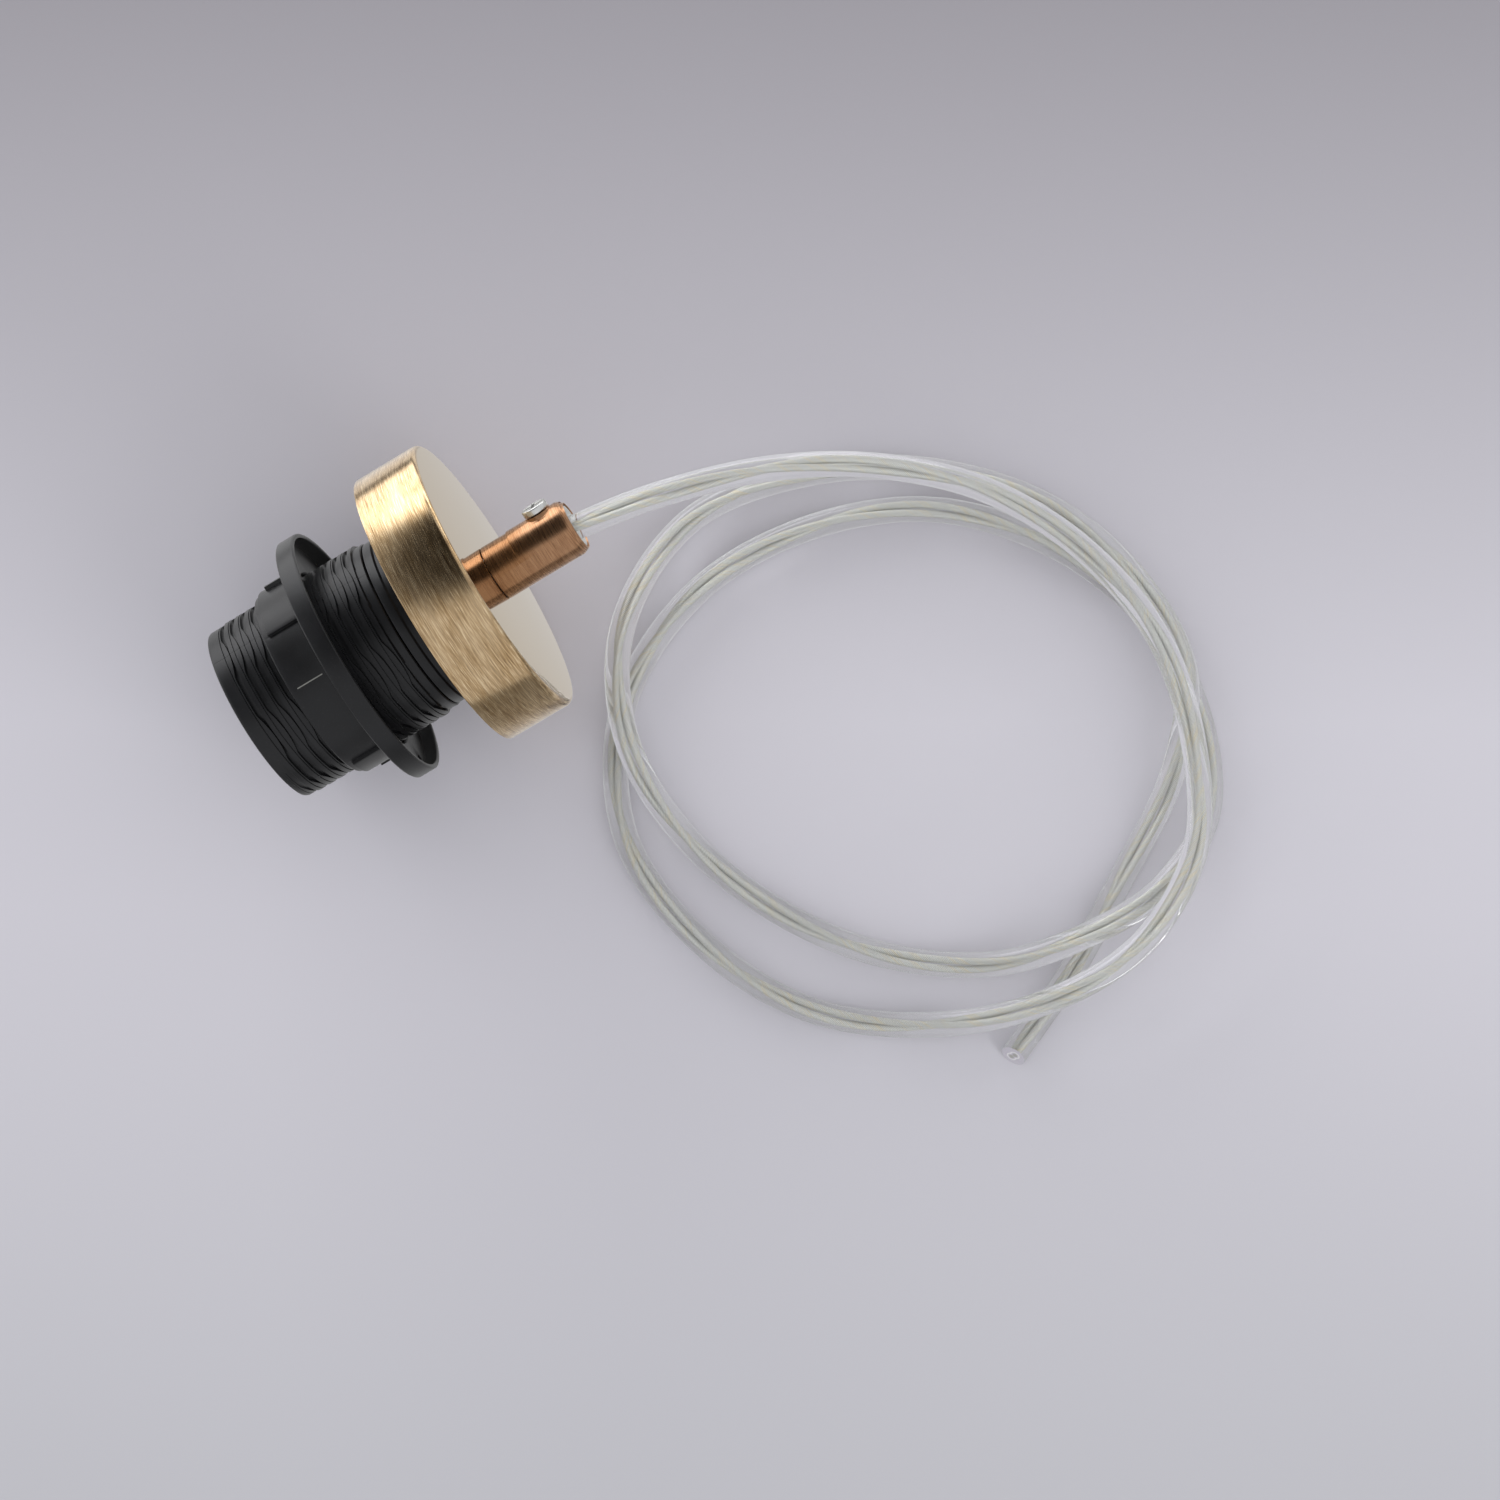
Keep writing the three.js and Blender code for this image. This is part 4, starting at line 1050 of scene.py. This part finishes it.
for pole in ("live", "neutral"):
    inner_finishes[f"{pole}_terminal"] = (contact_brass, "contact_brass")
    inner_finishes[f"{pole}_rivet"] = (contact_brass, "contact_brass")
    inner_finishes[f"{pole}_terminal_screw"] = (nickel, "steel")
    inner_finishes[f"{pole}_core"] = (clear_core, "clear_pvc")
    inner_finishes[f"{pole}_ferrule"] = (crimped_tin, "tinned_wire")
for node, (finish, slot_name) in inner_finishes.items():
    solid = frame["nodes"][node]
    finish.use(solid, slot_name)
    weld = solid.modifiers.new("weld", "WELD")
    weld.merge_threshold = WELD_WITHIN * MM
    round_off = solid.modifiers.new("round_off", "BEVEL")
    round_off.width = INNER_ROUNDING * MM
    round_off.segments = 2
    round_off.limit_method = "ANGLE"
    round_off.angle_limit = INNER_SHARP

# Table
# A plain pale lilac-grey sheet, lightest in the middle of the picture and darkest at its top,
# which is painted light in the middle and painted shade at the top.
# Only in reflections the sheet glows, a painted reflection that the metal mirrors as a studio
# floor, dim near the holder and bright beyond the cup.
TABLE_SIZE = 8
PICTURE_UP = (0.5075, 0.8616, 0)
BOTTOM_TONE = (0.525, 0.52, 0.548, 1)
MIDDLE_PAINTED_LIGHT = (0.615, 0.598, 0.642, 1)
TOP_PAINTED_SHADE = (0.33, 0.315, 0.34, 1)
BOTTOM_TO_MIDDLE = (-0.19, -0.06)
MIDDLE_TO_TOP = (-0.02, 0.14)
# Levels of that painted glow, each with its place beside the holder.
FLOOR_BRIGHTEST = 3.4
FLOOR_FROM = -0.2
FLOOR_TO = 0.8
FLOOR_LEVELS = [
    (-0.20, 0.30), (-0.09, 0.38), (-0.045, 0.66), (0.04, 0.66), (0.05, 1.1), (0.07, 1.1),
    (0.078, 0.3), (0.088, 0.3), (0.105, 2.8), (0.35, FLOOR_BRIGHTEST), (0.8, 3.0),
]
drop_all()
bpy.ops.mesh.primitive_plane_add(size=TABLE_SIZE)
table = bpy.context.object
table.name = "table"
table_paint = Finish("table_paint", Roughness=0.9, Specular_IOR_Level=0.1)
table_paint.material.cycles.emission_sampling = "NONE"
tilted = table_paint.node("VectorMath", {
    0: table_paint.object_place(), 1: PICTURE_UP,
}, operation="DOT_PRODUCT").outputs["Value"]
# The tone along the picture is painted light and shade: lighter in the middle, darker at the top.
lower_tone = table_paint.blend(
    table_paint.spread(tilted, *BOTTOM_TO_MIDDLE), BOTTOM_TONE, MIDDLE_PAINTED_LIGHT)
table_paint.feed(table_paint.shader.inputs["Base Color"], table_paint.blend(
    table_paint.spread(tilted, *MIDDLE_TO_TOP), lower_tone, TOP_PAINTED_SHADE))
aside = table_paint.node("SeparateXYZ", {0: table_paint.object_place()}).outputs[1]
levels = table_paint.node("ValToRGB", {0: table_paint.spread(aside, FLOOR_FROM, FLOOR_TO)})
ramp = levels.color_ramp
while len(ramp.elements) < len(FLOOR_LEVELS):
    ramp.elements.new(0.5)
for stop, (at, level) in zip(ramp.elements, FLOOR_LEVELS):
    stop.position = (at - FLOOR_FROM) / (FLOOR_TO - FLOOR_FROM)
    share = level / FLOOR_BRIGHTEST
    stop.color = (share * 0.99, share * 0.99, share, 1)
painted_reflection_glow = table_paint.node("Emission", {"Color": levels.outputs[0], "Strength": FLOOR_BRIGHTEST})
ray = table_paint.node("LightPath")
# The sheet glows to reflected rays alone: a painted reflection that gives the metal its bright and
# dim bands.
in_metal = table_paint.node("MixShader", {
    0: table_paint.maths("GREATER_THAN", ray.outputs["Is Glossy Ray"],
                         ray.outputs["Is Transmission Ray"]),
    1: table_paint.shader.outputs[0], 2: painted_reflection_glow.outputs[0],
})
table_paint.feed(table_paint.output.inputs["Surface"], in_metal.outputs[0])
table.data.materials.append(table_paint.material)

# Light
# Three large soft lamps, the strongest low on the cup's bright side, in an even pale room. The
# metal doesn't mirror them: it shows a dark panel overhead and a bright horizon instead.
WORLD_LEVEL = 0.80
WORLD_TONE = (0.96, 0.97, 1.0, 1)
PANEL_TOWARDS = (0, 0.530, 0.848)
PANEL_EDGE = math.cos(math.radians(48))
PANEL_CORE = math.cos(math.radians(25))
PANEL_LEVEL = 0.05
ROOM_LEVEL = 0.85
HORIZON_LEVEL = 3.0
HORIZON_FROM = 0.88
HORIZON_FULL = 0.98


def soft_lamp(name, place, aim, size, power):
    direction = Vector(aim) - Vector(place)
    turn = direction.to_track_quat("-Z", "Y").to_euler()
    bpy.ops.object.light_add(type="AREA", location=place, rotation=turn)
    lamp = bpy.context.object
    lamp.name = name
    lamp.data.shape = "RECTANGLE"
    lamp.data.size, lamp.data.size_y = size
    lamp.data.energy = power
    lamp.visible_glossy = False


soft_lamp("key_lamp", place=(-0.1, 1.35, 0.32), aim=(0.02, 0, 0.02), size=(1.5, 0.55), power=13)
soft_lamp("side_lamp", place=(1.3, -0.2, 0.4), aim=(0.02, 0, 0.02), size=(0.9, 0.6), power=2)
soft_lamp("fill_lamp", place=(0.5, -1.2, 0.9), aim=(0.05, -0.05, 0), size=(0.8, 0.8), power=4)
world = bpy.data.worlds.new("studio")
bpy.context.scene.world = world
world.use_nodes = True
world.cycles.sampling_method = "NONE"


def world_node(kind, inputs=(), **settings):
    return add_node(world.node_tree, kind, inputs, **settings)


look = world_node("TexCoord").outputs["Generated"]
towards_panel = world_node("VectorMath", {0: look, 1: PANEL_TOWARDS}, operation="DOT_PRODUCT")
room = world_node("MapRange", {
    "Value": towards_panel.outputs["Value"], "From Min": PANEL_EDGE, "From Max": PANEL_CORE,
    "To Min": ROOM_LEVEL, "To Max": PANEL_LEVEL,
}, interpolation_type="SMOOTHSTEP").outputs[0]
to_lamp = world_node("SeparateXYZ", {0: look}).outputs[1]
horizon = world_node("MapRange", {
    "Value": to_lamp, "From Min": HORIZON_FROM, "From Max": HORIZON_FULL,
    "To Max": HORIZON_LEVEL,
}, interpolation_type="SMOOTHSTEP").outputs[0]
shown = world_node("Math", {0: room, 1: horizon}, operation="ADD").outputs[0]
ray = world_node("LightPath").outputs
in_metal = world_node(
    "Math", {0: ray["Is Glossy Ray"], 1: ray["Is Transmission Ray"]}, operation="GREATER_THAN")
strength = world_node("Mix", {0: in_metal.outputs[0], 2: WORLD_LEVEL, 3: shown}).outputs[0]
background = world.node_tree.nodes["Background"]
background.inputs["Color"].default_value = WORLD_TONE
world.node_tree.links.new(strength, background.inputs["Strength"])
